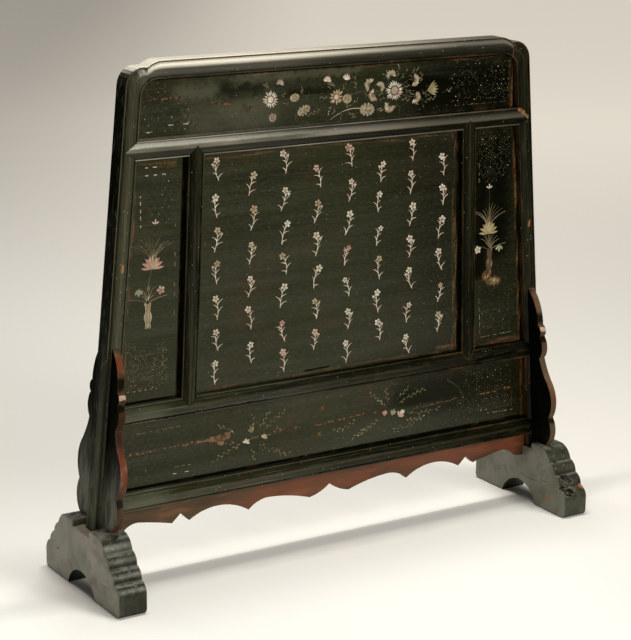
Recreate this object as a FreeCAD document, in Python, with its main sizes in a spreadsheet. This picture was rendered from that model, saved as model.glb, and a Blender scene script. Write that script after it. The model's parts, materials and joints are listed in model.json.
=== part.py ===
import FreeCAD, Part
import math
import os

import Sketcher

# A lacquered table screen: a tapered frame of moulded stiles, rails and muntins holds five
# panels, and stands between four scalloped spandrels on two stepped shoe feet.
# The frame's front faces -Y, +X is to the right, and the floor is Z = 0.

Vector = FreeCAD.Vector
doc = FreeCAD.newDocument("table_screen")

# Driving dimensions in millimetres: alias, value, what it measures
SIZES = (
    ("screen_height", 580, "floor to the top edge of the frame"),
    ("base_width", 630, "over the stiles, carried down to the floor"),
    ("top_width", 526.8, "over the stiles, carried up to the top edge"),
    ("frame_depth", 25, "crest to crest of the frame mouldings"),
    ("stile_width", 20, "face of a stile"),
    ("top_rail_width", 20, "face of the top rail"),
    ("mid_rail_width", 21.5, "face of the upper and the lower rail"),
    ("bottom_rail_width", 22, "face of the bottom rail"),
    ("muntin_width", 20, "face of a muntin"),
    ("top_panel_height", 63.75, "opening between the top rail and the upper rail"),
    ("bottom_panel_height", 77.75, "opening between the lower rail and the bottom rail"),
    ("bottom_rail_level", 97, "floor to the bottom rail's centre line"),
    ("side_top_width", 61.7, "side opening, muntin to stile, under the upper rail"),
    ("side_low_width", 76, "side opening, muntin to stile, above the lower rail"),
    ("bead_width", 2.4, "edge bead of a moulding"),
    ("bead_crown", 1.6, "crest of the moulding down to the crown of the edge bead"),
    ("bead_fall", 2.8, "crest of the moulding down to the bead's outer arris"),
    ("band_drop", 2.4, "crest of the moulding down to the quirk beside the bead"),
    ("groove_depth", 6, "panel groove in the edge of a frame member"),
    ("tongue_thickness", 6, "tongue of a panel or the apron"),
    ("panel_thickness", 9, "field of a panel"),
    ("panel_play", 0.5, "room at the bottom of a groove for a panel to swell"),
    ("fit_gap", 0.1, "slip fit between mating faces"),
    ("tenon_thickness", 8, "tenon of a rail or muntin"),
    ("tenon_length", 13, "blind tenon of a rail, from the stile's inner face"),
    ("muntin_tenon", 10, "blind tenon of a muntin, from the rail's edge"),
    ("stile_margin", 4.5, "tip of a rail's pointed shoulder to the stile's outer face"),
    ("rail_margin", 9.5, "tip of a muntin's pointed shoulder to the rail's far edge"),
    ("lobe_radius", 21.5, "round of the stile's lobe at a top corner"),
    ("lobe_drop", 5.5, "top edge of the frame down to the crown of the stile's lobe"),
    ("lobe_shift", 22.6, "stile lobe's centre in to the start of the rail's lobe"),
    ("rail_lobe_radius", 28, "round of the top rail's lobe"),
    ("inner_radius", 18, "round of the opening's top corners"),
    ("field_ease", 1, "extra round on the top panel's field at those corners"),
    ("tongue_ease", 6, "extra round on the top panel's tongue at those corners"),
    ("mitre_tenon_width", 6, "tenon across the mitre of a top corner"),
    ("mitre_tenon_length", 8, "tenon across the mitre, from the mitre face"),
    ("foot_width", 34.4, "foot across the screen"),
    ("foot_outset", 4, "stile's centre out to the foot's centre"),
    ("toe_height", 22, "upright part of the foot's end"),
    ("toe_round", 6, "rounded lower arris of the foot's end"),
    ("foot_ease", 1, "eased arrises along the foot's sides"),
    ("step_run", 11, "going of one scalloped step"),
    ("step_rise", 13.5, "rise of one scalloped step"),
    ("step_quirk", 1, "hollow where one scalloped step meets the next"),
    ("crest_run", 20, "going of the slope above the steps"),
    ("crest_rise", 15.5, "rise of the slope above the steps"),
    ("shoulder_flat", 16.5, "level shoulder that carries a spandrel"),
    ("shoulder_round", 2.5, "rounded arris where the shoulder drops to the saddle"),
    ("saddle_depth", 8, "shoulder down to the saddle that carries the stile"),
    ("saddle_gap", 8, "stile's face to the end of the saddle"),
    ("arch_span", 67, "arch under the foot"),
    ("arch_height", 24, "crown of the arch over the floor"),
    ("foot_tenon_width", 12, "stile's foot tenon across the screen"),
    ("foot_tenon_depth", 14, "stile's foot tenon front to back"),
    ("foot_tenon_length", 25, "stile's foot tenon below the saddle"),
    ("spandrel_thickness", 8, "spandrel board"),
    ("spandrel_reach", 39, "spandrel's belly beyond the stile's face"),
    ("spandrel_rise", 195.5, "spandrel's tip above the foot's shoulder"),
    ("housing_depth", 1.5, "housing in the stile's face for the spandrel's edge"),
    ("apron_thickness", 8, "apron board"),
    ("apron_drop", 28.5, "bottom rail down to the lowest lobe of the apron"),
)

SCALLOPED_STEPS = 3
STILE_LOBE_COUNT = 11
RAIL_LOBE_COUNT = 8
CUT_MARGIN = 5.0

# Shares of a bead's width between which its crown is level
BEAD_CROWN = (0.25, 0.75)

# Swell of a quarter round over its chord, as a share of its radius
QUARTER_SWELL = 1 - math.cos(math.pi / 4)

# Right half of the apron's lower edge: share of the half span, share of the drop, bulge as a
# share of the drop (positive swells downwards)
APRON_EDGE = (
    (0.000, 0.545, 0.000),
    (0.095, 0.980, 0.070),
    (0.280, 0.615, -0.060),
    (0.384, 0.985, -0.120),
    (0.655, 0.915, -0.410),
    (0.693, 0.550, 0.000),
    (0.732, 0.900, 0.000),
    (0.882, 0.590, -0.020),
    (0.950, 0.900, -0.090),
    (1.000, 1.000, 0.030),
)

# Outer edge of a spandrel from the foot up: share of the reach, share of the rise, bulge as a
# share of the reach (positive swells outwards)
SPANDREL_EDGE = (
    (0.640, 0.000, 0.000),
    (0.820, 0.190, 0.195),
    (0.785, 0.430, 0.205),
    (0.475, 0.568, -0.030),
    (0.500, 0.711, 0.140),
    (0.450, 0.783, 0.105),
    (0.030, 1.000, 0.120),
)


class Size:
    """A length that carries the sheet expression it comes from."""

    def __init__(self, value, text):
        self.value = value
        self.text = text

    def __float__(self):
        return self.value

    def __neg__(self):
        return Size(-self.value, f"(-{self.text})")

    def __add__(self, other):
        other = as_size(other)
        return Size(self.value + other.value, f"({self.text} + {other.text})")

    def __sub__(self, other):
        other = as_size(other)
        return Size(self.value - other.value, f"({self.text} - {other.text})")

    def __mul__(self, factor):
        return Size(self.value * factor, f"({self.text} * {factor})")

    def __truediv__(self, factor):
        return Size(self.value / factor, f"({self.text} / {factor})")


def as_size(length):
    """Give a plain number the form of a Size."""
    if isinstance(length, Size):
        return length
    return Size(float(length), f"({float(length)})")


def make_sheet():
    """Write the driving dimensions to a sheet and return them by alias."""
    sheet = doc.addObject("Spreadsheet::Sheet", "sizes")
    for row, (alias, value, note) in enumerate(SIZES, start=1):
        sheet.set(f"A{row}", note)
        sheet.set(f"B{row}", str(value))
        sheet.setAlias(f"B{row}", alias)
    doc.recompute()
    return {alias: Size(float(sheet.get(alias)), f"sizes.{alias}") for alias, _, _ in SIZES}


size = make_sheet()


# Sketches and features

def bind(item, path, length):
    """Tie a property to the sheet, or set it where the length is worked out in code."""
    if isinstance(length, Size):
        item.setExpression(path, length.text)
    elif path == "Length":
        item.Length = length


def draw(sketch, outline):
    """Draw a closed outline anticlockwise through corners (x, y) or (x, y, bulge).

    A bulge makes the side that ends at the corner an arc, that far outside its chord. A
    corner's coordinate that is a Size is held to the sheet by a constraint.
    """
    corners = [(float(corner[0]), float(corner[1])) for corner in outline]
    sides = []
    ends = []
    for index, corner in enumerate(outline):
        start = Vector(*corners[index - 1], 0)
        end = Vector(*corners[index], 0)
        bulge = float(corner[2]) if len(corner) == 3 else 0.0
        chord = end - start
        if abs(bulge) < 1e-6:
            sides.append(Part.LineSegment(start, end))
            ends.append((1, 2))
            continue
        outward = Vector(chord.y, -chord.x, 0).normalize()
        middle = (start + end) / 2 + outward * bulge
        if bulge > 0:
            sides.append(Part.Arc(start, middle, end))
            ends.append((1, 2))
        else:
            sides.append(Part.Arc(end, middle, start))
            ends.append((2, 1))
    sketch.addGeometry(sides)

    constraints = []
    expressions = []
    for index, corner in enumerate(outline):
        following = (index + 1) % len(outline)
        constraints.append(
            Sketcher.Constraint("Coincident", index, ends[index][1], following, ends[following][0]))
        for kind, length in zip(("DistanceX", "DistanceY"), corner):
            if isinstance(length, Size):
                expressions.append((len(constraints), length.text))
                constraints.append(
                    Sketcher.Constraint(kind, -1, 1, index, ends[index][1], length.value))
    sketch.addConstraint(constraints)
    for position, text in expressions:
        sketch.setExpression(f"Constraints[{position}]", text)


def new_body(label):
    body = doc.addObject("PartDesign::Body", label)
    body.Label = label
    return body


def sketch_on(body, role, name, outline, offset):
    """Attach a sketch to one of the body's own origin planes, offset along its normal."""
    plane = next(item for item in body.Origin.OriginFeatures if item.Role == role)
    sketch = body.newObject("Sketcher::SketchObject", f"{body.Name}_{name}")
    sketch.AttachmentSupport = (plane, "")
    sketch.MapMode = "FlatFace"
    if isinstance(offset, FreeCAD.Placement):
        sketch.AttachmentOffset = offset
    else:
        sketch.AttachmentOffset = FreeCAD.Placement(Vector(0, 0, float(offset)), FreeCAD.Rotation())
        bind(sketch, "AttachmentOffset.Base.z", offset)
    draw(sketch, outline)
    return sketch


def feature(body, kind, name, sketch, length):
    made = body.newObject(kind, f"{body.Name}_{name}")
    made.Profile = sketch
    bind(made, "Length", length)
    sketch.Visibility = False
    return made


def front_pad(body, name, outline, front, back):
    """Add material between two depths; the outline is drawn in X and Z as seen from the front."""
    sketch = sketch_on(body, "XZ_Plane", name + "_outline", outline, -as_size(back))
    return feature(body, "PartDesign::Pad", name, sketch, as_size(back) - front)


def front_cut(body, name, outline, front, back):
    """Cut between two depths; the outline is drawn in X and Z as seen from the front."""
    sketch = sketch_on(body, "XZ_Plane", name + "_outline", outline, -as_size(front))
    return feature(body, "PartDesign::Pocket", name, sketch, as_size(back) - front)


def side_pad(body, name, outline, left, right):
    """Add material between two stations across; the outline is drawn in Y and Z."""
    sketch = sketch_on(body, "YZ_Plane", name + "_outline", outline, as_size(left))
    return feature(body, "PartDesign::Pad", name, sketch, as_size(right) - left)


def side_cut(body, name, outline, left, right):
    """Cut between two stations across; the outline is drawn in Y and Z."""
    sketch = sketch_on(body, "YZ_Plane", name + "_outline", outline, as_size(right))
    return feature(body, "PartDesign::Pocket", name, sketch, as_size(right) - left)


def dress_edges(body, kind, name, path, length, chosen):
    """Round or chamfer the edges of a body that a test picks out."""
    doc.recompute()
    base = body.Tip
    edges = [f"Edge{number}" for number, edge in enumerate(base.Shape.Edges, start=1) if chosen(edge)]
    made = body.newObject(kind, f"{body.Name}_{name}")
    made.Base = (base, edges)
    bind(made, path, length)
    return made


def rectangle(left, right, low, high):
    return [(left, low), (right, low), (right, high), (left, high)]


def mirrored(label, source, normal):
    """Make the opposite-hand piece of a body."""
    copy = doc.addObject("Part::Mirroring", label)
    copy.Label = label
    copy.Source = source
    copy.Base = Vector(0, 0, 0)
    copy.Normal = normal
    return copy


# Lines of the tapered frame, as (x at the floor, change of x per unit of height)

def line_x(line, level):
    return line[0] + line[1] * level


def shifted(line, distance):
    """Move a line sideways, square to itself."""
    return (line[0] + distance * math.hypot(1, line[1]), line[1])


def flipped(line):
    return (-line[0], -line[1])


half_depth = size["frame_depth"] / 2
web = size["tenon_thickness"] / 2 + size["fit_gap"]
tenon_half = size["tenon_thickness"] / 2
groove_half = size["tongue_thickness"] / 2 + size["fit_gap"]
height = float(size["screen_height"])
gap = float(size["fit_gap"])

slope = float(size["base_width"] - size["top_width"]) / 2 / height
lean = math.atan(slope)
outward = Vector(math.cos(lean), 0, math.sin(lean))
along_stile = Vector(-math.sin(lean), 0, math.cos(lean))
stile_outer = (float(size["base_width"]) / 2, -slope)
stile_inner = shifted(stile_outer, -float(size["stile_width"]))
stile_middle = shifted(stile_outer, -float(size["stile_width"]) / 2)

opening_top = height - float(size["top_rail_width"])
upper_high = opening_top - float(size["top_panel_height"])
upper_low = upper_high - float(size["mid_rail_width"])
bottom_low = float(size["bottom_rail_level"] - size["bottom_rail_width"] / 2)
bottom_high = float(size["bottom_rail_level"] + size["bottom_rail_width"] / 2)
lower_low = bottom_high + float(size["bottom_panel_height"])
lower_high = lower_low + float(size["mid_rail_width"])

muntin_top_x = line_x(stile_inner, upper_low) - float(size["side_top_width"])
muntin_low_x = line_x(stile_inner, lower_high) - float(size["side_low_width"])
muntin_slope = (muntin_top_x - muntin_low_x) / (upper_low - lower_high)
muntin_outer = (muntin_low_x - muntin_slope * lower_high, muntin_slope)
muntin_middle = shifted(muntin_outer, -float(size["muntin_width"]) / 2)
muntin_inner = shifted(muntin_outer, -float(size["muntin_width"]))

shoulder_level = size["toe_height"] + size["step_rise"] * SCALLOPED_STEPS + size["crest_rise"]
saddle_level = shoulder_level - size["saddle_depth"]
saddle_half = half_depth + size["saddle_gap"]
shoulder_end = saddle_half + size["shoulder_flat"]
crest_end = shoulder_end + size["crest_run"]
foot_half = crest_end + size["step_run"] * SCALLOPED_STEPS
seat = float(saddle_level)
spandrel_tip = float(shoulder_level + size["spandrel_rise"])
foot_middle = line_x(stile_middle, seat) + float(size["foot_outset"])
foot_inner = foot_middle - float(size["foot_width"]) / 2


# Moulded members

def moulding(width, outer_groove):
    """Section of a frame member: x runs in from its outer edge, y through its depth.

    Both faces have a broad swelling band between two small edge beads. The inner edge is
    grooved for a panel, and so is the outer edge where asked.
    """
    bead = size["bead_width"]
    groove_end = size["groove_depth"]
    arris = half_depth - size["bead_fall"]
    crown = half_depth - size["bead_crown"]
    quirk = half_depth - size["band_drop"]
    width = as_size(width)
    crown_start, crown_end = BEAD_CROWN
    bead_corners = [(0.0, arris), (bead * crown_start, crown), (bead * crown_end, crown), (bead, quirk)]
    outline = [(across, -out) for across, out in bead_corners]
    outline.append((width - bead, -quirk, size["band_drop"]))
    outline += [(width - across, -out) for across, out in reversed(bead_corners[:-1])]
    outline += [
        (width, -groove_half),
        (width - groove_end, -groove_half),
        (width - groove_end, groove_half),
        (width, groove_half),
    ]
    outline += [(width - across, out) for across, out in bead_corners]
    outline.append((bead, quirk, size["band_drop"]))
    outline += [(across, out) for across, out in reversed(bead_corners[:-1])]
    if outer_groove:
        outline += [
            (0.0, groove_half),
            (groove_end, groove_half),
            (groove_end, -groove_half),
            (0.0, -groove_half),
        ]
    return outline


def section(body, name, outer, inner, width=None, outer_groove=False):
    """Sketch a member's section on the line from an outer to an inner point of the frame."""
    across = inner - outer
    if width is None:
        width = across.Length
    inwards = Vector(across).normalize()
    axis = inwards.cross(Vector(0, -1, 0))
    turn = FreeCAD.Rotation(inwards, Vector(0, -1, 0), axis, "XYZ")
    place = FreeCAD.Placement(outer, turn)
    return sketch_on(body, "XY_Plane", name, moulding(width, outer_groove), place)


def bar(body, outer, inner, length, width, outer_groove):
    """Run a member's section straight on for a length."""
    sketch = section(body, "section", outer, inner, width, outer_groove)
    return feature(body, "PartDesign::Pad", "bar", sketch, length)


def frame_point(line, level):
    return Vector(line_x(line, level), 0, level)


def pointed_cut(base_a, base_b, tip, away):
    """Outline that trims a member's end to a point; away is the way off the end."""
    reach = away * (abs((tip - base_a).dot(away)) + CUT_MARGIN)
    side = (base_b - base_a).normalize() * CUT_MARGIN
    corners = [base_a, tip, base_b, base_b + side, base_b + side + reach,
               base_a - side + reach, base_a - side]
    return anticlockwise(corners)


def anticlockwise(corners):
    """Order points of the front plane anticlockwise as (x, z) pairs."""
    pairs = [(corner.x, corner.z) for corner in corners]
    turns = zip(pairs, pairs[1:] + pairs[:1])
    area = sum(x0 * z1 - x1 * z0 for (x0, z0), (x1, z1) in turns)
    return pairs if area > 0 else pairs[::-1]


def cut_both_faces(body, name, outline, depth):
    """Cut the front and the back of a member down to a depth from its middle plane."""
    outside = half_depth + CUT_MARGIN
    front_cut(body, name + "_front", outline, -outside, -depth)
    front_cut(body, name + "_back", outline, depth, outside)


def cut_through(body, name, outline):
    outside = half_depth + CUT_MARGIN
    front_cut(body, name, outline, -outside, outside)


# Top corners: the stile's lobe meets the rail's lobe at a notch, on a mitre

def circle_point(centre, radius, angle):
    return centre + Vector(math.cos(angle), 0, math.sin(angle)) * radius


def angle_from(centre, point):
    return math.atan2(point.z - centre.z, point.x - centre.x)


lobe_radius = float(size["lobe_radius"])
rail_lobe_radius = float(size["rail_lobe_radius"])
inner_radius = float(size["inner_radius"])

lobe_level = height - float(size["lobe_drop"]) - lobe_radius
lobe_centre = frame_point(shifted(stile_outer, -lobe_radius), lobe_level)
rail_lobe_centre = Vector(lobe_centre.x - float(size["lobe_shift"]), 0, height - rail_lobe_radius)
corner_level = opening_top - inner_radius
corner_centre = frame_point(shifted(stile_inner, -inner_radius), corner_level)


def upper_crossing(centre_a, radius_a, centre_b, radius_b):
    """Upper point where two circles of the front plane cross."""
    apart = centre_b - centre_a
    gone = (radius_a ** 2 - radius_b ** 2 + apart.Length ** 2) / (2 * apart.Length)
    rise = math.sqrt(radius_a ** 2 - gone ** 2)
    ahead = Vector(apart).normalize()
    return centre_a + ahead * gone + Vector(-ahead.z, 0, ahead.x) * rise


notch = upper_crossing(rail_lobe_centre, rail_lobe_radius, lobe_centre, lobe_radius)
mitre_angle = (lean + math.pi / 2) / 2
mitre_inner = circle_point(corner_centre, inner_radius, mitre_angle)


def run_then_round(start, centre, radius, first, last, share):
    """Point a share of the way along a straight run and the arc that follows it."""
    tangent = circle_point(centre, radius, first)
    straight = (tangent - start).Length
    curved = radius * abs(last - first)
    gone = share * (straight + curved)
    if gone <= straight:
        return start + (tangent - start) * (gone / straight if straight else 0)
    return circle_point(centre, radius, first + (last - first) * (gone - straight) / curved)


def corner_loft(body, name, count, outer_run, inner_run, side):
    """Loft a moulded member round a top corner to its mitre face."""
    sections = []
    for index in range(count):
        share = index / (count - 1)
        outer = run_then_round(*outer_run, share)
        inner = run_then_round(*inner_run, share)
        outer.x *= side
        inner.x *= side
        sections.append(section(body, f"{name}_section_{index}", outer, inner))
    loft = body.newObject("PartDesign::AdditiveLoft", f"{body.Name}_{name}")
    loft.Profile = sections[0]
    loft.Sections = sections[1:]
    loft.Ruled = True
    return loft


def mitre_tenon(side, slack):
    """Outline of the tenon that crosses the mitre from the rail into the stile."""
    face = (mitre_inner - notch).normalize()
    ahead = Vector(-face.z, 0, face.x)
    middle = (notch + mitre_inner) / 2 - face * float(size["groove_depth"]) / 2
    half = float(size["mitre_tenon_width"]) / 2 + slack
    reach = float(size["mitre_tenon_length"]) + slack
    root = ahead * (-CUT_MARGIN if slack else 0)
    corners = [middle + root - face * half, middle + root + face * half,
               middle + ahead * reach + face * half, middle + ahead * reach - face * half]
    return anticlockwise([Vector(side * corner.x, 0, corner.z) for corner in corners])


# Pointed shoulders: where each rail meets the stile and each muntin meets a rail

def stile_shoulder(low, high):
    """Base corners and tip of a rail's pointed shoulder on the right stile."""
    tip_line = shifted(stile_outer, -float(size["stile_margin"]))
    tip = frame_point(tip_line, (low + high) / 2)
    return frame_point(stile_inner, low), frame_point(stile_inner, high), tip


def rail_shoulder(edge, upwards):
    """Base corners and tip of the right muntin's pointed shoulder on a rail's edge."""
    reach = float(size["mid_rail_width"] - size["rail_margin"])
    tip = frame_point(muntin_middle, edge + (reach if upwards else -reach))
    return frame_point(muntin_inner, edge), frame_point(muntin_outer, edge), tip


def on_side(points, side):
    return [Vector(side * point.x, 0, point.z) for point in points]


def rail_tenon(low, high, side, end, slack):
    """Outline of a rail's tenon past the stile's inner face, up to a line of the frame."""
    corners = [frame_point(stile_inner, low - slack), frame_point(end, low - slack),
               frame_point(end, high + slack), frame_point(stile_inner, high + slack)]
    if slack:
        corners[0].x -= slack
        corners[3].x -= slack
    return anticlockwise(on_side(corners, side))


def muntin_mortise(edge, upwards, side, slack):
    """Outline of a muntin's tenon past the edge of a rail."""
    reach = (float(size["muntin_tenon"]) + slack) * (1 if upwards else -1)
    half = float(size["muntin_width"] / 2 - size["groove_depth"])
    sides = [shifted(muntin_middle, -half - slack), shifted(muntin_middle, half + slack)]
    start = edge - (slack if upwards else -slack)
    corners = [frame_point(sides[0], start), frame_point(sides[1], start),
               frame_point(sides[1], edge + reach), frame_point(sides[0], edge + reach)]
    return anticlockwise(on_side(corners, side))


groove = float(size["groove_depth"])
blind_end = shifted(stile_inner, float(size["tenon_length"]))
RAIL_JOINTS = {
    "upper": (upper_low, upper_high, upper_low + groove, upper_high - groove, blind_end),
    "lower": (lower_low, lower_high, lower_low + groove, lower_high - groove, blind_end),
    "bottom": (bottom_low, bottom_high, bottom_low, bottom_high - groove, stile_outer),
}


def cut_housing(body, name, side):
    """Let the spandrels' edges into both faces of a member."""
    half = float(size["spandrel_thickness"]) / 2 + gap
    sides = [shifted(stile_middle, -half), shifted(stile_middle, half)]
    below = seat - CUT_MARGIN
    above = spandrel_tip + half * slope + gap
    corners = [frame_point(sides[0], below), frame_point(sides[1], below),
               frame_point(sides[1], above), frame_point(sides[0], above)]
    outline = anticlockwise(on_side(corners, side))
    cut_both_faces(body, name, outline, half_depth - size["housing_depth"])


def make_stile():
    """Right stile: a leaning moulded bar with a lobed top and a foot tenon."""
    body = new_body("stile_right")
    tangent = circle_point(corner_centre, inner_radius, lean)
    top = tangent + outward * float(size["stile_width"])
    start = frame_point(stile_outer, seat - float(size["stile_width"]))
    bar(body, start, start - outward, (top - start).dot(along_stile), size["stile_width"], False)

    below = rectangle(line_x(stile_inner, seat) - CUT_MARGIN, float(size["base_width"]) / 2,
                      start.z - CUT_MARGIN, saddle_level)
    cut_through(body, "foot_cut", below)
    half = float(size["foot_tenon_width"]) / 2
    middle = line_x(stile_middle, seat)
    tenon_depth = size["foot_tenon_depth"] / 2
    tenon = rectangle(middle - half, middle + half, saddle_level - size["foot_tenon_length"],
                      saddle_level)
    front_pad(body, "foot_tenon", tenon, -tenon_depth, tenon_depth)

    for name, (low, high, tenon_low, tenon_high, end) in RAIL_JOINTS.items():
        cut_both_faces(body, name + "_shoulder", anticlockwise(stile_shoulder(low, high)), web)
        past = shifted(end, CUT_MARGIN if name == "bottom" else gap)
        front_cut(body, name + "_mortise", rail_tenon(tenon_low, tenon_high, 1, past, gap), -web, web)

    cut_housing(body, "housing", 1)

    outer_run = (top, lobe_centre, lobe_radius, lean, angle_from(lobe_centre, notch))
    inner_run = (tangent, corner_centre, inner_radius, lean, mitre_angle)
    corner_loft(body, "lobe", STILE_LOBE_COUNT, outer_run, inner_run, 1)
    front_cut(body, "mitre_mortise", mitre_tenon(1, gap), -web, web)
    return body


def make_top_rail():
    """Top rail: a moulded bar with a drooping lobe and a mitre tenon at each end."""
    body = new_body("top_rail")
    start = Vector(rail_lobe_centre.x, 0, height)
    low_start = Vector(rail_lobe_centre.x, 0, opening_top)
    bar(body, start, low_start, 2 * start.x, size["top_rail_width"], False)
    outer_run = (start, rail_lobe_centre, rail_lobe_radius, math.pi / 2,
                 angle_from(rail_lobe_centre, notch))
    inner_run = (low_start, corner_centre, inner_radius, math.pi / 2, mitre_angle)
    for name, side in (("right", 1), ("left", -1)):
        corner_loft(body, name + "_lobe", RAIL_LOBE_COUNT, outer_run, inner_run, side)
    for name, side in (("right", 1), ("left", -1)):
        front_pad(body, name + "_tenon", mitre_tenon(side, 0), -tenon_half, tenon_half)
    return body


def make_rail(label, joint, width, muntin_edge=None, muntin_up=False):
    """Cross rail: a moulded bar with pointed shoulders and tenons, notched for the muntins."""
    low, high, tenon_low, tenon_high, end = RAIL_JOINTS[joint]
    body = new_body(label)
    base_low, base_high, tip = stile_shoulder(low, high)
    start = Vector(-tip.x, 0, low)
    bar(body, start, start + Vector(0, 0, 1), 2 * tip.x, width, True)
    for name, side in (("right", 1), ("left", -1)):
        shoulder = on_side((base_low, base_high, tip), side)
        cut_through(body, name + "_point", pointed_cut(*shoulder, Vector(side, 0, 0)))
        front_cut(body, name + "_cheek", anticlockwise(shoulder), -web, web)
        front_pad(body, name + "_tenon", rail_tenon(tenon_low, tenon_high, side, end, 0),
                  -tenon_half, tenon_half)
        if low < spandrel_tip:
            cut_housing(body, name + "_housing", side)
        if muntin_edge is not None:
            notch_corners = on_side(rail_shoulder(muntin_edge, muntin_up), side)
            cut_both_faces(body, name + "_notch", anticlockwise(notch_corners), web)
            front_cut(body, name + "_mortise", muntin_mortise(muntin_edge, muntin_up, side, gap),
                      -web, web)
    return body


def make_muntin():
    """Right muntin: an upright moulded bar, pointed and tenoned at both ends."""
    body = new_body("muntin_right")
    low_joint = rail_shoulder(lower_high, False)
    high_joint = rail_shoulder(upper_low, True)
    axis = (high_joint[2] - low_joint[2]).normalize()
    across = Vector(axis.z, 0, -axis.x)
    start = low_joint[2] + across * float(size["muntin_width"]) / 2
    bar(body, start, start - across, (high_joint[2] - low_joint[2]).Length, size["muntin_width"], True)
    ends = (("low", low_joint, lower_high, False), ("high", high_joint, upper_low, True))
    for name, joint, edge, upwards in ends:
        away = Vector(0, 0, 1 if upwards else -1)
        cut_through(body, name + "_point", pointed_cut(*joint, away))
        front_cut(body, name + "_cheek", anticlockwise(joint), -web, web)
        front_pad(body, name + "_tenon", muntin_mortise(edge, upwards, 1, 0), -tenon_half, tenon_half)
    return body


# Panels

def four_sided(left, right, low, high, spread, ease):
    """Outline between two lines and two levels, let out on every side; its corners stay square."""
    left = shifted(left, -spread)
    right = shifted(right, spread)
    low -= spread
    high += spread
    return [(line_x(left, low), low), (line_x(right, low), low),
            (line_x(right, high), high), (line_x(left, high), high)]


def round_topped(left, right, low, high, spread, ease):
    """The same outline with rounded top corners, eased to clear the corners of the frame."""
    outline = four_sided(left, right, low, high, spread, ease)
    radius = inner_radius + spread + ease
    bulge = radius * (1 - math.cos((math.pi / 2 - lean) / 2))
    centre = frame_point(shifted(right, spread - radius), high + spread - radius)
    side_end = circle_point(centre, radius, lean)
    top_end = circle_point(centre, radius, math.pi / 2)
    return outline[:2] + [(side_end.x, side_end.z), (top_end.x, top_end.z, bulge),
                          (-top_end.x, top_end.z), (-side_end.x, side_end.z, bulge)]


def make_panel(label, outline, left, right, low, high):
    """Panel: a field that fills its opening, with a thinner tongue all round."""
    body = new_body(label)
    tongue = float(size["groove_depth"] - size["panel_play"])
    half = size["tongue_thickness"] / 2
    ease = float(size["tongue_ease"])
    front_pad(body, "tongue", outline(left, right, low, high, tongue, ease), -half, half)
    half = size["panel_thickness"] / 2
    ease = float(size["field_ease"])
    front_pad(body, "field", outline(left, right, low, high, -gap, ease), -half, half)
    return body


# Stand

def tangent_swell(along, across):
    """Swell over its chord of an arc that starts along one leg of a right angle."""
    turn = math.atan2(float(across), float(along))
    return math.hypot(float(along), float(across)) / 2 * math.tan(turn / 2)


def make_foot():
    """Right foot: a shoe foot with scalloped steps, an arch below and a saddle for the stile."""
    body = new_body("foot_right")
    toe = foot_half - size["toe_round"]
    drop = size["shoulder_round"]
    ledges = [(foot_half - size["step_run"] * step, size["toe_height"] + size["step_rise"] * step)
              for step in range(1, SCALLOPED_STEPS + 1)]
    step_swell = tangent_swell(size["step_rise"], size["step_run"])
    half = [
        (toe, 0.0),
        (foot_half, size["toe_round"], size["toe_round"] * QUARTER_SWELL),
        (foot_half, size["toe_height"]),
    ]
    half += [(across, level, step_swell) for across, level in ledges]
    half += [
        (shoulder_end, shoulder_level, tangent_swell(size["crest_run"], size["crest_rise"])),
        (saddle_half + drop, shoulder_level),
        (saddle_half, shoulder_level - drop, drop * QUARTER_SWELL),
        (saddle_half, saddle_level),
    ]
    outline = list(half)
    bulges = [corner[2] if len(corner) == 3 else 0.0 for corner in half] + [0.0]
    for index in range(len(half) - 1, -1, -1):
        outline.append((-half[index][0], half[index][1], bulges[index + 1]))
    arch = size["arch_span"] / 2
    outline += [(-arch, 0.0), (arch, 0.0, -size["arch_height"])]
    width_half = size["foot_width"] / 2
    side_pad(body, "block", outline, -width_half, width_half)

    corners = [(float(across), float(level)) for across, level in ledges]

    def between_steps(edge):
        middle = edge.BoundBox.Center
        return any(math.dist((abs(middle.y), middle.z), corner) < gap for corner in corners)

    dress_edges(body, "PartDesign::Fillet", "quirks", "Radius", size["step_quirk"], between_steps)

    tenon_middle = -size["foot_outset"]
    tenon_half_width = size["foot_tenon_width"] / 2 + size["fit_gap"]
    mortise = rectangle(tenon_middle - tenon_half_width, tenon_middle + tenon_half_width,
                        saddle_level - size["foot_tenon_length"] - size["fit_gap"],
                        saddle_level + size["saddle_depth"])
    mortise_half = size["foot_tenon_depth"] / 2 + size["fit_gap"]
    front_cut(body, "mortise", mortise, -mortise_half, mortise_half)

    def along_a_side(edge):
        box = edge.BoundBox
        on_side_face = box.XLength < gap and abs(box.XMax) > float(width_half) - gap
        above_saddle = max(abs(box.YMin), abs(box.YMax)) > float(saddle_half) + gap
        return on_side_face and above_saddle and box.ZMin > gap

    dress_edges(body, "PartDesign::Chamfer", "ease", "Size", size["foot_ease"], along_a_side)
    body.Placement = FreeCAD.Placement(Vector(foot_middle, 0, 0), FreeCAD.Rotation())
    return body


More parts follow.
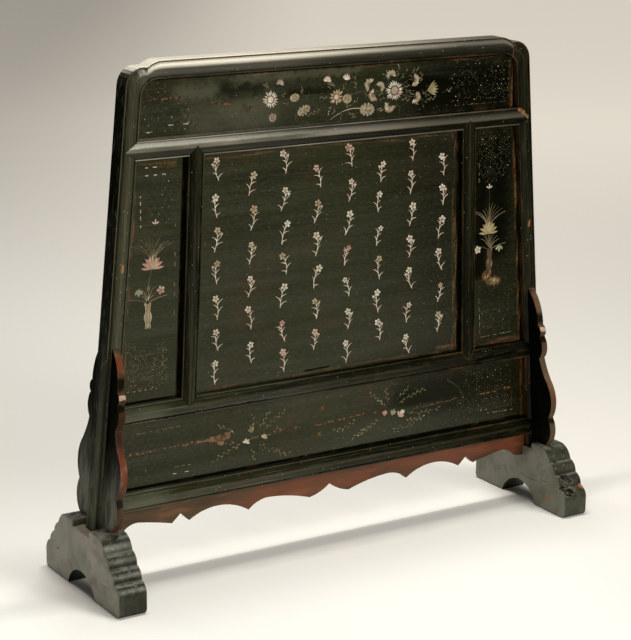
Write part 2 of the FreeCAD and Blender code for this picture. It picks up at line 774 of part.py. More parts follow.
def make_spandrel():
    """Front right spandrel: a scalloped board that braces the stile from the foot."""
    body = new_body("spandrel_front_right")
    face = half_depth - size["housing_depth"]
    rise = float(size["spandrel_rise"])
    reach = float(size["spandrel_reach"])
    shoulder = float(shoulder_level)
    stretch = 1 / math.cos(lean)
    edge = [(float(half_depth) + across * reach, (shoulder + up * rise) * stretch, bulge * reach)
            for across, up, bulge in SPANDREL_EDGE]
    foot_end = edge[0][0]
    below = seat - CUT_MARGIN
    outline = [(face, below), (foot_end, below), (foot_end, edge[0][1])] + edge[1:]
    outline.append((face, edge[-1][1]))

    plane_origin = Vector(stile_middle[0], 0, 0)
    forwards = Vector(0, -1, 0)
    normal = forwards.cross(along_stile)
    plane_origin -= normal * float(size["spandrel_thickness"]) / 2
    turn = FreeCAD.Rotation(forwards, along_stile, normal, "XYZ")
    place = FreeCAD.Placement(plane_origin, turn)
    sketch = sketch_on(body, "XY_Plane", "outline", outline, place)
    feature(body, "PartDesign::Pad", "board", sketch, size["spandrel_thickness"])

    end = -as_size(foot_end) - CUT_MARGIN
    floor = below - CUT_MARGIN
    under = [(end, floor), (0.0, floor), (0.0, saddle_level), (-saddle_half, saddle_level),
             (-saddle_half, shoulder_level), (end, shoulder_level)]
    side_cut(body, "foot_cut", under, foot_inner, as_size(foot_inner) + size["foot_width"])
    return body


def make_apron():
    """Apron: a board with a scalloped lower edge, tongued into the bottom rail."""
    body = new_body("apron")
    drop = float(size["apron_drop"])
    end = foot_inner - gap
    step = seat + gap
    stile_face = shifted(stile_inner, -gap)
    right = [(share * end, bottom_low - fall * drop, bulge * drop) for share, fall, bulge in APRON_EDGE]
    left = [(-x, level, right[index + 1][2]) for index, (x, level, _) in enumerate(right[:-1])]
    ends = [(end, step), (line_x(stile_face, step), step),
            (line_x(stile_face, bottom_low), bottom_low)]
    outline = right + ends + [(-x, level) for x, level in reversed(ends)]
    outline += [(-right[-1][0], right[-1][1])] + list(reversed(left[1:]))
    outline[0] = (right[0][0], right[0][1], right[1][2])
    half = size["apron_thickness"] / 2
    front_pad(body, "board", outline, -half, half)

    tongue_top = bottom_low + float(size["groove_depth"] - size["panel_play"])
    tongue = rectangle(-line_x(stile_face, tongue_top), line_x(stile_face, tongue_top),
                       bottom_low - CUT_MARGIN, tongue_top)
    half = size["tongue_thickness"] / 2
    front_pad(body, "tongue", tongue, -half, half)
    return body


# The pieces

ACROSS = Vector(1, 0, 0)
THROUGH = Vector(0, 1, 0)

stile = make_stile()
muntin = make_muntin()
foot = make_foot()
spandrel = make_spandrel()
side_panel = make_panel("panel_right", four_sided, muntin_outer, stile_inner, lower_high, upper_low)
spandrel_left = mirrored("spandrel_front_left", spandrel, ACROSS)

pieces = [
    stile,
    mirrored("stile_left", stile, ACROSS),
    make_top_rail(),
    make_rail("upper_rail", "upper", size["mid_rail_width"], upper_low, True),
    make_rail("lower_rail", "lower", size["mid_rail_width"], lower_high, False),
    make_rail("bottom_rail", "bottom", size["bottom_rail_width"]),
    muntin,
    mirrored("muntin_left", muntin, ACROSS),
    make_panel("panel_top", round_topped, flipped(stile_inner), stile_inner, upper_high, opening_top),
    side_panel,
    mirrored("panel_left", side_panel, ACROSS),
    make_panel("panel_centre", four_sided, flipped(muntin_inner), muntin_inner, lower_high, upper_low),
    make_panel("panel_bottom", four_sided, flipped(stile_inner), stile_inner, bottom_high, lower_low),
    make_apron(),
    spandrel,
    spandrel_left,
    mirrored("spandrel_back_right", spandrel, THROUGH),
    mirrored("spandrel_back_left", spandrel_left, THROUGH),
    foot,
    mirrored("foot_left", foot, ACROSS),
]

doc.recompute()

for item in doc.Objects:
    if "Invalid" in item.State or "Error" in item.State:
        raise RuntimeError(f"{item.Name} did not build: {item.State}")
for piece in pieces:
    if piece.Shape.isNull() or not piece.Shape.isValid() or len(piece.Shape.Solids) != 1:
        raise RuntimeError(f"{piece.Label} is not one valid solid")

os.makedirs("parts", exist_ok=True)
for piece in pieces:
    piece.Shape.exportStep(os.path.join("parts", piece.Label + ".step"))
    print(f"{piece.Label}: {piece.Shape.Volume / 1000:.1f} cm3")
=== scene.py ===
import json
import random
from math import atan2, cos, degrees, dist, log, pi, radians, sin, sqrt

import bmesh
import bpy
from mathutils import Matrix, Vector

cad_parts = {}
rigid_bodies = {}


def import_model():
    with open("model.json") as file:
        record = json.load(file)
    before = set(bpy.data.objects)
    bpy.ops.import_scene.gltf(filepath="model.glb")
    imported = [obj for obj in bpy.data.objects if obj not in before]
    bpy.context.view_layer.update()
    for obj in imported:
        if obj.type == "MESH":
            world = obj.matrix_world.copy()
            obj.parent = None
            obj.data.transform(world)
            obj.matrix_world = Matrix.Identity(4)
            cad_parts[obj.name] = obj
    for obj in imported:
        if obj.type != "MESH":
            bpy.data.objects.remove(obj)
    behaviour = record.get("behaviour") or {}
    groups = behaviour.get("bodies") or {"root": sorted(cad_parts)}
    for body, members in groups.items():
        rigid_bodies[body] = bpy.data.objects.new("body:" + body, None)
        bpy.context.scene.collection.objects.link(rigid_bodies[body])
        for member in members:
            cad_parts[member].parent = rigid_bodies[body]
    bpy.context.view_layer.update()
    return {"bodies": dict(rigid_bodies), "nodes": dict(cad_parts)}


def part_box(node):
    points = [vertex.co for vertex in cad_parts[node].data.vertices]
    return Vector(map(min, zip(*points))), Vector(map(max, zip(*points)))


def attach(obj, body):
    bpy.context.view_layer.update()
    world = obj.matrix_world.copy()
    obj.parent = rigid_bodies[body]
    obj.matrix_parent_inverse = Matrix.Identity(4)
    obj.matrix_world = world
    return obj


# A black-lacquered table screen with mother-of-pearl inlay, in metres.
# The front faces -Y, +X is to the right, and the floor is Z = 0.
# Ornament is laid out in millimetres as (X, Z) on the front of the panels.

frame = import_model()
kept = set(frame["nodes"].values()) | set(frame["bodies"].values())
for item in list(bpy.data.objects):
    if item not in kept:
        bpy.data.objects.remove(item)

MM = 0.001
FULL_TURN = 2 * pi
PANEL_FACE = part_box("panel_centre")[0].y


def add_object(name, data):
    made = bpy.data.objects.new(name, data)
    bpy.context.scene.collection.objects.link(made)
    return made


# Camera, fitted to the picture

AZIMUTH = radians(-32.629)
ELEVATION = radians(15.002)
ROLL = radians(0.904)
DISTANCE = 2.3079
TARGET = Vector((-0.0203, 0.0, 0.2699))
PICTURE_HEIGHT = 640
FOCAL_PIXELS = 2023.5
SENSOR = 36.0

VIEW_BACK = Vector((sin(AZIMUTH) * cos(ELEVATION),
                    -cos(AZIMUTH) * cos(ELEVATION), sin(ELEVATION)))
VIEW_RIGHT = Vector((cos(AZIMUTH), sin(AZIMUTH), 0.0))
VIEW_AWAY = Vector((-sin(AZIMUTH), cos(AZIMUTH), 0.0))


def add_camera():
    up = VIEW_BACK.cross(VIEW_RIGHT)
    right = VIEW_RIGHT * cos(ROLL) + up * sin(ROLL)
    up = up * cos(ROLL) - VIEW_RIGHT * sin(ROLL)
    place = Matrix((right, up, VIEW_BACK)).transposed().to_4x4()
    place.translation = TARGET + VIEW_BACK * DISTANCE
    data = bpy.data.cameras.new("camera")
    data.sensor_width = SENSOR
    data.lens = SENSOR * FOCAL_PIXELS / PICTURE_HEIGHT
    camera = add_object("camera", data)
    camera.matrix_world = place
    bpy.context.scene.camera = camera


# Node materials

class Mask:
    """A number that varies over a surface, such as the share of it that dust covers."""

    def __init__(self, coat, socket):
        self.coat = coat
        self.socket = socket

    def changed(self, operation, other=0.0, clamp=False):
        made = self.coat.node("Math", {0: self, 1: other}, operation=operation, use_clamp=clamp)
        return Mask(self.coat, made.outputs[0])

    def __mul__(self, other):
        return self.changed("MULTIPLY", other)

    def __add__(self, other):
        return self.changed("ADD", other)

    def __sub__(self, other):
        return self.changed("SUBTRACT", other)

    def __or__(self, other):
        """The higher of two masks."""
        return self.changed("MAXIMUM", other)

    def __abs__(self):
        return self.changed("ABSOLUTE")

    def ramp(self, low, high, bottom=0.0, top=1.0):
        """Ease from bottom to top as the mask goes from low to high."""
        bounds = {"From Min": low, "From Max": high, "To Min": bottom, "To Max": top}
        made = self.coat.node("MapRange", {"Value": self, **bounds}, interpolation_type="SMOOTHSTEP")
        return Mask(self.coat, made.outputs["Result"])

    def between(self, bottom, top):
        """Ease from bottom, where the mask is 0, to top, where it is 1."""
        return self.ramp(0.0, 1.0, bottom, top)


class Shader:
    """One node material, built up as a tone and plugged into its surface shader."""

    def __init__(self, name):
        self.material = bpy.data.materials.new(name)
        self.material.use_nodes = True
        self.tree = self.material.node_tree
        self.surface = self.tree.nodes["Principled BSDF"]
        self.place = self.node("TexCoord").outputs["Object"]
        self.facing = self.node("NewGeometry").outputs["Normal"]
        self.x, self.y, self.z = self.parts(self.place)
        self.facing_x, self.facing_y, self.facing_z = self.parts(self.facing)
        self.tone = None

    def node(self, kind, inputs=None, **settings):
        made = self.tree.nodes.new("ShaderNode" + kind)
        for name, value in settings.items():
            setattr(made, name, value)
        for key, value in (inputs or {}).items():
            self.plug(made.inputs[key], value)
        return made

    def plug(self, socket, value):
        if isinstance(value, Mask):
            value = value.socket
        if isinstance(value, bpy.types.NodeSocket):
            self.tree.links.new(value, socket)
        else:
            socket.default_value = value

    def set(self, name, value):
        self.plug(self.surface.inputs[name], value)

    def parts(self, vector):
        return [Mask(self, part) for part in self.node("SeparateXYZ", {0: vector}).outputs]

    def vector(self, operation, first, second):
        return self.node("VectorMath", {0: first, 1: second}, operation=operation).outputs["Vector"]

    def scaled(self, vector, factor):
        return self.node("VectorMath", {0: vector, "Scale": factor}, operation="SCALE").outputs["Vector"]

    def measure(self, operation, first, second):
        """A number taken from two vectors."""
        made = self.node("VectorMath", {0: first, 1: second}, operation=operation)
        return Mask(self, made.outputs["Value"])

    def along(self, direction):
        """How far a place lies along a direction."""
        return self.measure("DOT_PRODUCT", self.place, direction)

    def clouds(self, scale, detail, stretch=(1, 1, 1)):
        place = self.vector("MULTIPLY", self.place, stretch)
        return self.node("TexNoise", {"Vector": place, "Scale": scale, "Detail": detail}).outputs

    def noise(self, scale, detail=3, stretch=(1, 1, 1)):
        return Mask(self, self.clouds(scale, detail, stretch)["Fac"])

    def mix(self, share, first, second):
        """The first colour, with a share of the second."""
        return self.node("Mix", {0: share, 6: first, 7: second}, data_type="RGBA").outputs[2]

    def mottled(self, first, second, scale, detail=3, low=0.4, high=0.6):
        """Clouds of two colours."""
        return self.mix(self.noise(scale, detail).ramp(low, high), first, second)

    def paint(self, over, share):
        """Lay a colour over the tone so far."""
        self.tone = self.mix(share, self.tone, over)

    def bump(self, height, strength, distance, after=None):
        inputs = {"Height": height, "Strength": strength, "Distance": distance}
        if after is not None:
            inputs["Normal"] = after
        return self.node("Bump", inputs).outputs["Normal"]

    def edges(self, radius, low, high):
        """A mask that is 1 along sharp edges."""
        rounded = self.node("Bevel", {"Radius": radius}, samples=4).outputs["Normal"]
        return self.measure("DOT_PRODUCT", rounded, self.facing).ramp(high, low)

    def crevices(self, distance, low, high):
        """A mask that is 1 where the surroundings shut the light out."""
        shelter = self.node("AmbientOcclusion", {"Distance": distance}, samples=4)
        return Mask(self, shelter.outputs["AO"]).ramp(high, low)

    def specks(self, scale, size, share):
        """Scattered dots: size is their radius in cells, share the cells that have one."""
        cells = self.node("TexVoronoi", {"Vector": self.place, "Scale": scale})
        chosen = Mask(self, self.node("SeparateColor", {0: cells.outputs["Color"]}).outputs[0])
        dots = Mask(self, cells.outputs["Distance"]).ramp(size, size * 0.6)
        return dots * chosen.ramp(1 - share, 1.01 - share)

    def scars(self, lines, fray, plane="XZ", blur=0.2):
        """A ragged mask along lines on a flank: (start, end, width) in millimetres."""
        across = Vector((1, 0, 0)) if plane == "XZ" else Vector((0, 1, 0))
        upright = Vector((0, 0, 1))
        drift = self.vector("SUBTRACT", self.clouds(160.0, 7.0)["Color"], (0.5, 0.5, 0.5))
        frayed = self.vector("ADD", self.place, self.scaled(drift, fray * MM))
        flat = self.vector("MULTIPLY", frayed, across + upright)
        scar = None
        for (h0, z0), (h1, z1), width in lines:
            start = (across * h0 + upright * z0) * MM
            reach = (across * (h1 - h0) + upright * (z1 - z0)) * MM
            offset = self.vector("SUBTRACT", flat, start)
            part = self.measure("DOT_PRODUCT", offset, reach / reach.length_squared)
            nearest = self.scaled(reach, part.changed("ADD", clamp=True))
            away = self.measure("DISTANCE", offset, nearest)
            line = away.ramp(width * MM * (1 + blur) / 2, width * MM * (1 - blur) / 2)
            scar = line if scar is None else scar | line
        return scar


def colour(red, green, blue):
    return (red, green, blue, 1.0)


LACQUER = colour(0.021, 0.0245, 0.0075)
LACQUER_BROWN = colour(0.034, 0.025, 0.008)
LACQUER_PALE = colour(0.046, 0.048, 0.026)
BLACK = colour(0.003, 0.0034, 0.0016)
LACQUER_GRAIN = colour(0.098, 0.090, 0.040)
LACQUER_HAZE = colour(0.085, 0.083, 0.050)
LACQUER_SHEEN = colour(1.0, 1.0, 0.86)
# Dust, also the colour of the painted highlight on the upper rail.
DUST_AND_HIGHLIGHT = colour(0.50, 0.45, 0.37)
# Pale dust, also a painted highlight along the top rail.
PALE_DUST_AND_HIGHLIGHT = colour(0.74, 0.69, 0.57)
OCHRE = colour(0.22, 0.13, 0.05)
DULL_OCHRE = colour(0.10, 0.055, 0.022)
# Rubbed olive wear, also the colour of the painted highlight on the crests.
RUBBED_AND_HIGHLIGHT_OLIVE = colour(0.135, 0.105, 0.045)
WORN_GOLD = colour(0.15, 0.065, 0.022)
RUST = colour(0.30, 0.10, 0.03)
RED_BROWN = colour(0.022, 0.010, 0.006)
QUIRK_BROWN = colour(0.07, 0.035, 0.015)
FLOOR_LIT_GREY = colour(0.105, 0.115, 0.070)
STILE_LIT_GREY = colour(0.075, 0.078, 0.048)
BARE_WOOD = colour(0.33, 0.17, 0.065)
LEVEL_GRAIN = (0.14, 1.0, 1.7)
UPRIGHT_GRAIN = (1.7, 1.0, 0.14)
FLECK_GRAIN = (0.4, 1.0, 1.2)
FULL_SHEEN = 0.45


def wider(lines, factor):
    return [(start, end, width * factor) for start, end, width in lines]


def lacquer_gloss(coat, low=0.15, high=0.30, grain=(1, 1, 1)):
    """An uneven gloss, as roughness."""
    return coat.noise(45, 5, grain).ramp(0.3, 0.75, low, high)


def lacquer_ripple(coat, grain=(1, 1, 1)):
    """A slightly rippled skin."""
    ripple = coat.bump(coat.noise(90, 5, grain), 0.22, 0.0012)
    return coat.bump(coat.noise(520, 4), 0.25, 0.0003, ripple)


def finish_lacquer(coat, roughness, sheen, skin):
    """Plug the tone of a lacquer, its gloss and its skin into the surface."""
    coat.set("Base Color", coat.tone)
    coat.set("Roughness", roughness)
    coat.set("Specular IOR Level", sheen)
    coat.set("Specular Tint", LACQUER_SHEEN)
    coat.set("Normal", skin)
    return coat.material


def lacquer_tone(coat, grain, contrast):
    """Olive black with brown clouds, and paler and darker streaks along the grain."""
    coat.tone = coat.mottled(LACQUER, LACQUER_BROWN, 13, 5, 0.48, 0.72)
    pale = coat.noise(60, 6, grain)
    coat.paint(LACQUER_PALE, pale.ramp(0.52, 0.7, 0, contrast * 0.8))
    dark = coat.noise(24, 6, grain)
    coat.paint(BLACK, dark.ramp(0.5, 0.68, 0, contrast))


def add_grit(coat, grain, strength):
    """Fine dark and pale flecks along the grain."""
    grains = coat.noise(420, 5, grain)
    coat.paint(BLACK, grains.ramp(0.5, 0.62) * strength)
    coat.paint(LACQUER_GRAIN, grains.ramp(0.46, 0.36) * strength * 0.6)


# Lacquer of the frame

FRAME_CHIPS = [
    ((254, 493), (258, 490), 5.0),
    ((258, 490), (266, 483), 2.4),
    ((-272, 358), (-271.5, 364), 3.5),
    ((274, 352), (274.5, 358), 3.0),
    ((-283, 268), (-282, 272), 2.5),
]
FRAME_GAPS = [
    ((204, 192.5), (226, 195.5), 6.0),
    ((232, 194.5), (262, 196), 4.5),
    ((150, 190.5), (196, 190.5), 1.6),
    ((-270, 188), (-90, 189), 1.4),
]


def shade_frame(coat, upright):
    """Darker to the right and on the sides as painted shade, with painted light on the left stile's front;
    returns the shade, the flank and the faces turned away.
    """
    # Painted shade: the frame is darkened towards the right.
    shade = coat.x.ramp(-0.08, 0.26)
    coat.paint(BLACK, shade * 0.6)
    # The reveals that face left: red-brown lacquer, darkened with painted shade.
    reveal = coat.facing_x.ramp(-0.6, -0.95) * coat.x.ramp(-0.24, -0.2)
    coat.paint(coat.mottled(BLACK, RED_BROWN, 35), reveal)
    worn = reveal * coat.x.ramp(0.21, 0.23) * coat.y.ramp(-0.0105, -0.0085)
    worn = worn * coat.noise(90, 6, UPRIGHT_GRAIN).ramp(0.35, 0.6)
    coat.paint(WORN_GOLD, worn * 0.8)
    # Painted shade on the left stile's outer flank.
    flank = coat.facing_x.ramp(-0.75, -0.95) * coat.x.ramp(-0.22, -0.24)
    coat.paint(BLACK, flank * 0.95)
    # Painted light: the left stile's front is lightened to grey.
    front = coat.x.ramp(-0.21, -0.24) * coat.facing_x.ramp(-0.6, -0.3)
    coat.paint(STILE_LIT_GREY, front * 0.55)
    # Painted shade on faces turned away, and on the rails towards the right.
    if upright:
        shut = coat.facing_x.ramp(0.35, 0.05, 0.35, 0.95) * coat.x.ramp(-0.22, -0.21)
        shut = shut * coat.x.ramp(0.23, 0.21, 0.4, 1)
    else:
        shut = coat.x.ramp(-0.18, 0.04, 0, 0.85)
    coat.paint(BLACK, shut * 0.85)
    return shade, flank, shut


def grey_stile(coat, flank):
    """The foot of the left stile, paler grey towards the floor as a painted reflection of the pale floor,
    streaked on the flank.
    """
    low = coat.z.ramp(0.3, 0.08) * coat.facing_x.ramp(-0.95, -0.75)
    strip = flank * coat.y.ramp(0.004, -0.002) * coat.z.ramp(0.33, 0.16, 0, 0.9)
    fibres = coat.noise(170, 6, UPRIGHT_GRAIN).ramp(0.36, 0.58, 0.3, 1)
    streaks = flank * coat.z.ramp(0.19, 0.09, 0, 1.3) * fibres
    grey = low | strip | streaks
    coat.paint(FLOOR_LIT_GREY, grey * coat.x.ramp(-0.2, -0.24) * 0.7)


def light_shade_and_rub_mouldings(coat, grain, shade, shut):
    """A painted highlight on the crests that face ahead, painted shade on the skirts between them, rubbed
    edges, thin pale lines and specks of dust.
    """
    ahead = abs(coat.facing_y)
    patchy = coat.noise(30, 5, grain).ramp(0.38, 0.58, 0.25, 1)
    # Painted highlight along the crests that face straight ahead, paler to the left.
    coat.paint(RUBBED_AND_HIGHLIGHT_OLIVE, ahead.ramp(0.991, 0.9997) * patchy * shade.between(0.26, 0.14))
    # Painted shade on the skirts that turn away from the front.
    skirt_shade = ahead.ramp(0.93, 0.86) * ahead.ramp(0.5, 0.75)
    coat.paint(BLACK, skirt_shade * 0.55)
    edges = coat.edges(0.0018, 0.75, 0.97)
    rubbed = edges * coat.noise(40, 6).ramp(0.44, 0.62)
    coat.paint(RUBBED_AND_HIGHLIGHT_OLIVE, rubbed * 0.6)
    rusty = edges * shade * coat.noise(40, 6).ramp(0.56, 0.66)
    coat.paint(RUST, rusty * 0.5)
    thin = tuple(0.4 * share if share < 1 else 2.2 * share for share in grain)
    lines = coat.noise(170, 5, thin).ramp(0.58, 0.68) * shut.ramp(0.3, 0.9, 1, 0.3)
    coat.paint(DUST_AND_HIGHLIGHT, lines * shade.between(0.16, 0.06))
    dots = coat.specks(230, 0.17, 0.3) * coat.noise(24, 4).ramp(0.42, 0.6, 0.1, 1)
    coat.paint(DUST_AND_HIGHLIGHT, dots * 0.6)


def light_upper_rail(coat):
    """A painted highlight in the colour of dust on the upper rail's crest, over painted shade on its
    underside.
    """
    ahead = abs(coat.facing_y)
    patchy = coat.noise(30, 5, LEVEL_GRAIN).ramp(0.38, 0.58, 0.25, 1)
    upper = coat.z.ramp(0.455, 0.47) * coat.z.ramp(0.54, 0.52)
    upper = upper * coat.x.ramp(-0.08, 0.16, 1, 0.2)
    # Painted shade on the upper rail's underside.
    underside_shade = upper * coat.facing_z.ramp(0, -0.12) * ahead.ramp(0.4, 0.6)
    coat.paint(BLACK, underside_shade * 0.7)
    # Painted highlight on the upper part of the crest, fading to the right.
    gleam = upper * coat.facing_z.ramp(0.45, 0.02, 0.1, 1) * ahead.ramp(0.6, 0.8)
    gleam = gleam * coat.facing_z.ramp(-0.09, -0.01) * patchy
    coat.paint(DUST_AND_HIGHLIGHT, gleam * 0.72)


def shade_quirks_and_settle_dust(coat, grain, top, settling):
    """Painted shade in the quirks, and pale dust along the top on what faces up, which on the rails is
    also a painted highlight, paler to the left; returns the quirks.
    """
    quirk_shade = coat.crevices(0.004, 0.42, 0.95)
    # Painted shade where the quirks shelter the surface, brown along the top.
    coat.paint(coat.mix(top, BLACK, QUIRK_BROWN), quirk_shade * 0.9)
    # Painted light: the dust is paler to the left.
    fade = coat.x.ramp(-0.14, 0.2, 1, 0.15)
    settled = coat.facing_z.ramp(settling, settling + 0.35) * top * fade
    dust = settled * coat.noise(60, 5, grain).ramp(0.15, 0.45)
    coat.paint(PALE_DUST_AND_HIGHLIGHT, dust * quirk_shade.ramp(0.3, 0.8, 1, 0.2))
    return quirk_shade


def damage_frame(coat, grain):
    """Open joints, and chips down to the wood; returns the open joints."""
    gaps = coat.scars(FRAME_GAPS, 5, blur=0.6) * coat.noise(60, 6, grain).ramp(0.38, 0.52)
    coat.paint(BLACK, gaps)
    chips = coat.scars(FRAME_CHIPS, 3) * coat.noise(220, 4).ramp(0.3, 0.5)
    coat.paint(coat.mottled(RUST, BARE_WOOD, 160), chips)
    return gaps


def frame_lacquer(name, upright):
    """Lacquer of the stiles and muntins, which are upright, or of the rails."""
    coat = Shader(name)
    grain = UPRIGHT_GRAIN if upright else LEVEL_GRAIN
    dust_from, settling = (0.545, 0.6) if upright else (0.562, 0.05)
    lacquer_tone(coat, grain, 0.85)
    shade, flank, shut = shade_frame(coat, upright)
    grey_stile(coat, flank)
    add_grit(coat, grain, flank.between(0.25, 0.08))
    light_shade_and_rub_mouldings(coat, grain, shade, shut)
    top = coat.z.ramp(dust_from, dust_from + 0.005)
    if not upright:
        # Dust on top of the top rail, with painted light making it paler to the left.
        coat.paint(DUST_AND_HIGHLIGHT, top * coat.x.ramp(-0.12, 0.02, 0.12, 0.024))
        light_upper_rail(coat)
    quirk_shade = shade_quirks_and_settle_dust(coat, grain, top, settling)
    gaps = damage_frame(coat, grain)
    dulled = coat.facing_z.ramp(-0.1, 0.2) * coat.z.ramp(0.45, 0.4)
    roughness = lacquer_gloss(coat, grain=grain) | dulled * 0.8
    sheen = (quirk_shade | gaps | dulled * 0.7).between(FULL_SHEEN, 0.05)
    sheen = sheen * shut.ramp(0.3, 1.0, 1.0, 0.35) * flank.between(1.0, 0.3) * shade.between(1.0, 0.38)
    return finish_lacquer(coat, roughness, sheen, lacquer_ripple(coat, grain))


# Lacquer of the panels

PANEL_CRACKS = [
    ((-236, 538), (-196, 537.5), 2.0),
    ((-158, 529), (-138, 527), 2.0),
    ((-262, 149), (-205, 150), 1.6),
    ((-205, 150), (-165, 150.5), 2.8),
    ((-118, 143.5), (-98, 143.7), 1.8),
    ((-72, 146.5), (-40, 146), 1.8),
    ((-26, 145), (40, 148), 1.8),
    ((41, 149), (75, 146), 2.2),
    ((108, 143), (180, 147), 0.8),
    ((213, 146.5), (240, 148), 2.2),
    ((252, 149), (260, 149.5), 3.6),
]
PANEL_CHIPS = [
    ((-176, 150.5), (-160, 150.5), 3.0),
    ((-160, 150.5), (-148, 149.5), 6.0),
    ((-150, 150), (-138, 152), 8.0),
    ((-150, 147), (-145, 144), 5.0),
]
PANEL_PALES = [
    ((-175, 515), (-95, 518), 34.0),
    ((-200, 541), (-160, 543), 18.0),
    ((-130, 552), (30, 553), 9.0),
]
PANEL_SMEARS = [
    ((-146, 541), (-100, 541), 13.0),
    ((-60, 533), (-10, 534), 8.0),
    ((110, 160), (270, 162), 50.0),
]
PANEL_PATCHES = [
    ((110, 534), (260, 534), 44.0),
    ((120, 514), (260, 514), 34.0),
    ((206, 300), (206, 452), 24.0),
    ((232, 330), (232, 452), 34.0),
]
PANEL_SHADES = [
    ((-200.5, 207), (-191, 475), 8.0),
    ((180.5, 207), (171, 475), 8.0),
    ((276.5, 207), (252.7, 475), 6.0),
    ((285.3, 108), (278.4, 186), 6.0),
    ((251, 490), (246, 550), 5.0),
    ((-250, 560), (250, 560), 4.0),
    ((-286, 109), (286, 109), 5.0),
    ((-276, 208), (-196, 208), 4.0),
    ((-36, 213), (-4, 213.5), 2.2),
]
UPRIGHT_STRIPS = [
    ((245.5, 498), (243, 552), 5.0),
    ((174.5, 208), (165.5, 472), 7.0),
    ((274.5, 208), (251.5, 473), 6.0),
    ((283.5, 110), (277.5, 185), 6.0),
    ((-268, 225), (-252, 440), 2.0),
]
LEVEL_STRIPS = [
    ((-150, 556.5), (240, 556.5), 2.4),
    ((-248, 469), (-206, 469), 8.0),
    ((-168, 470), (160, 471), 4.0),
    ((150, 214), (172, 214), 6.0),
    ((215, 211), (268, 211), 6.0),
    ((-176, 210), (150, 210), 4.0),
]


def stain_and_shade_panels(coat):
    """Pale and dark clouds, grime and shaded rims; returns the dark ones, which have little sheen."""
    pales = coat.scars(PANEL_PALES, 20, blur=0.9)
    coat.paint(LACQUER_HAZE, pales * coat.noise(30, 6).ramp(0.3, 0.6, 0.4, 0.75))
    streaks = coat.noise(30, 6, LEVEL_GRAIN).ramp(0.22, 0.48)
    patches = coat.scars(PANEL_PATCHES, 16, blur=0.9) * streaks
    coat.paint(BLACK, patches * 0.97)
    smears = coat.scars(PANEL_SMEARS, 16, blur=0.9) * streaks
    coat.paint(BLACK, smears * 0.55)
    grime = coat.crevices(0.016, 0.35, 0.85) * coat.noise(55, 5).ramp(0.42, 0.62)
    coat.paint(OCHRE, grime * 0.3)
    # Painted shade along the rims, where the frame shades the boards.
    rims = coat.scars(PANEL_SHADES, 1.5)
    coat.paint(coat.mottled(BLACK, RED_BROWN, 40, 3, 0.5, 0.6), rims)
    return patches, smears, rims


def rub_panel_rims(coat):
    """Strips along the frame where the lacquer is rubbed to a streaky ochre."""
    strip_tone = coat.mottled(OCHRE, RUST, 60, 5, 0.46, 0.62)
    directions = ((UPRIGHT_STRIPS, UPRIGHT_GRAIN, 0.6), (LEVEL_STRIPS, LEVEL_GRAIN, 0.45))
    for strips, grain, strength in directions:
        streaks = coat.noise(190, 8, grain).ramp(0.44, 0.64)
        streaks = streaks * coat.noise(320, 5).ramp(0.35, 0.6, 0.35, 1)
        coat.paint(strip_tone, coat.scars(strips, 2.5, blur=0.8) * streaks * strength)


def crack_panels(coat):
    """Cracks along the boards, and a chip down to the wood with a dark rim."""
    cracks = coat.scars(PANEL_CRACKS, 4, blur=0.5)
    coat.paint(RED_BROWN, cracks * 0.9)
    worn = coat.mottled(RUST, OCHRE, 90, 4, 0.35, 0.65)
    coat.paint(worn, cracks * coat.noise(240, 6).ramp(0.46, 0.62))
    coat.paint(RED_BROWN, coat.scars(wider(PANEL_CHIPS, 1.35), 3.5))
    chips = coat.scars(PANEL_CHIPS, 3.5) * coat.noise(110, 6).ramp(0.3, 0.5)
    bare = coat.mottled(DULL_OCHRE, BARE_WOOD, 170, 6, 0.35, 0.65)
    coat.paint(bare, chips * 0.85)


def panel_lacquer():
    """Lacquer of the boards, darker to the right as painted shade, with pits and specks of dust."""
    coat = Shader("panel_lacquer")
    lacquer_tone(coat, LEVEL_GRAIN, 0.32)
    # Painted shade: the boards are darker to the right.
    shade = coat.x.ramp(-0.02, 0.2, 0, 0.7) * coat.z.ramp(0.27, 0.38, 0.75, 1)
    coat.paint(BLACK, shade)
    add_grit(coat, FLECK_GRAIN, 0.25)
    patches, smears, rims = stain_and_shade_panels(coat)
    rub_panel_rims(coat)
    crack_panels(coat)
    pits = coat.noise(420, 5).ramp(0.58, 0.66) * coat.noise(16, 4).ramp(0.4, 0.6)
    coat.paint(BLACK, pits * 0.6)
    dots = coat.specks(210, 0.13, 0.24) * coat.noise(20).ramp(0.42, 0.6, 0.1, 1)
    coat.paint(DUST_AND_HIGHLIGHT, dots * 0.55)
    roughness = lacquer_gloss(coat, grain=LEVEL_GRAIN)
    sheen = coat.noise(34, 6, LEVEL_GRAIN).ramp(0.3, 0.7, 0.56, 0.32)
    sheen = sheen * patches.between(1.0, 0.05) * smears.between(1.0, 0.3) * rims.between(1.0, 0.1)
    return finish_lacquer(coat, roughness, sheen, lacquer_ripple(coat, LEVEL_GRAIN))


# Lacquer of the feet

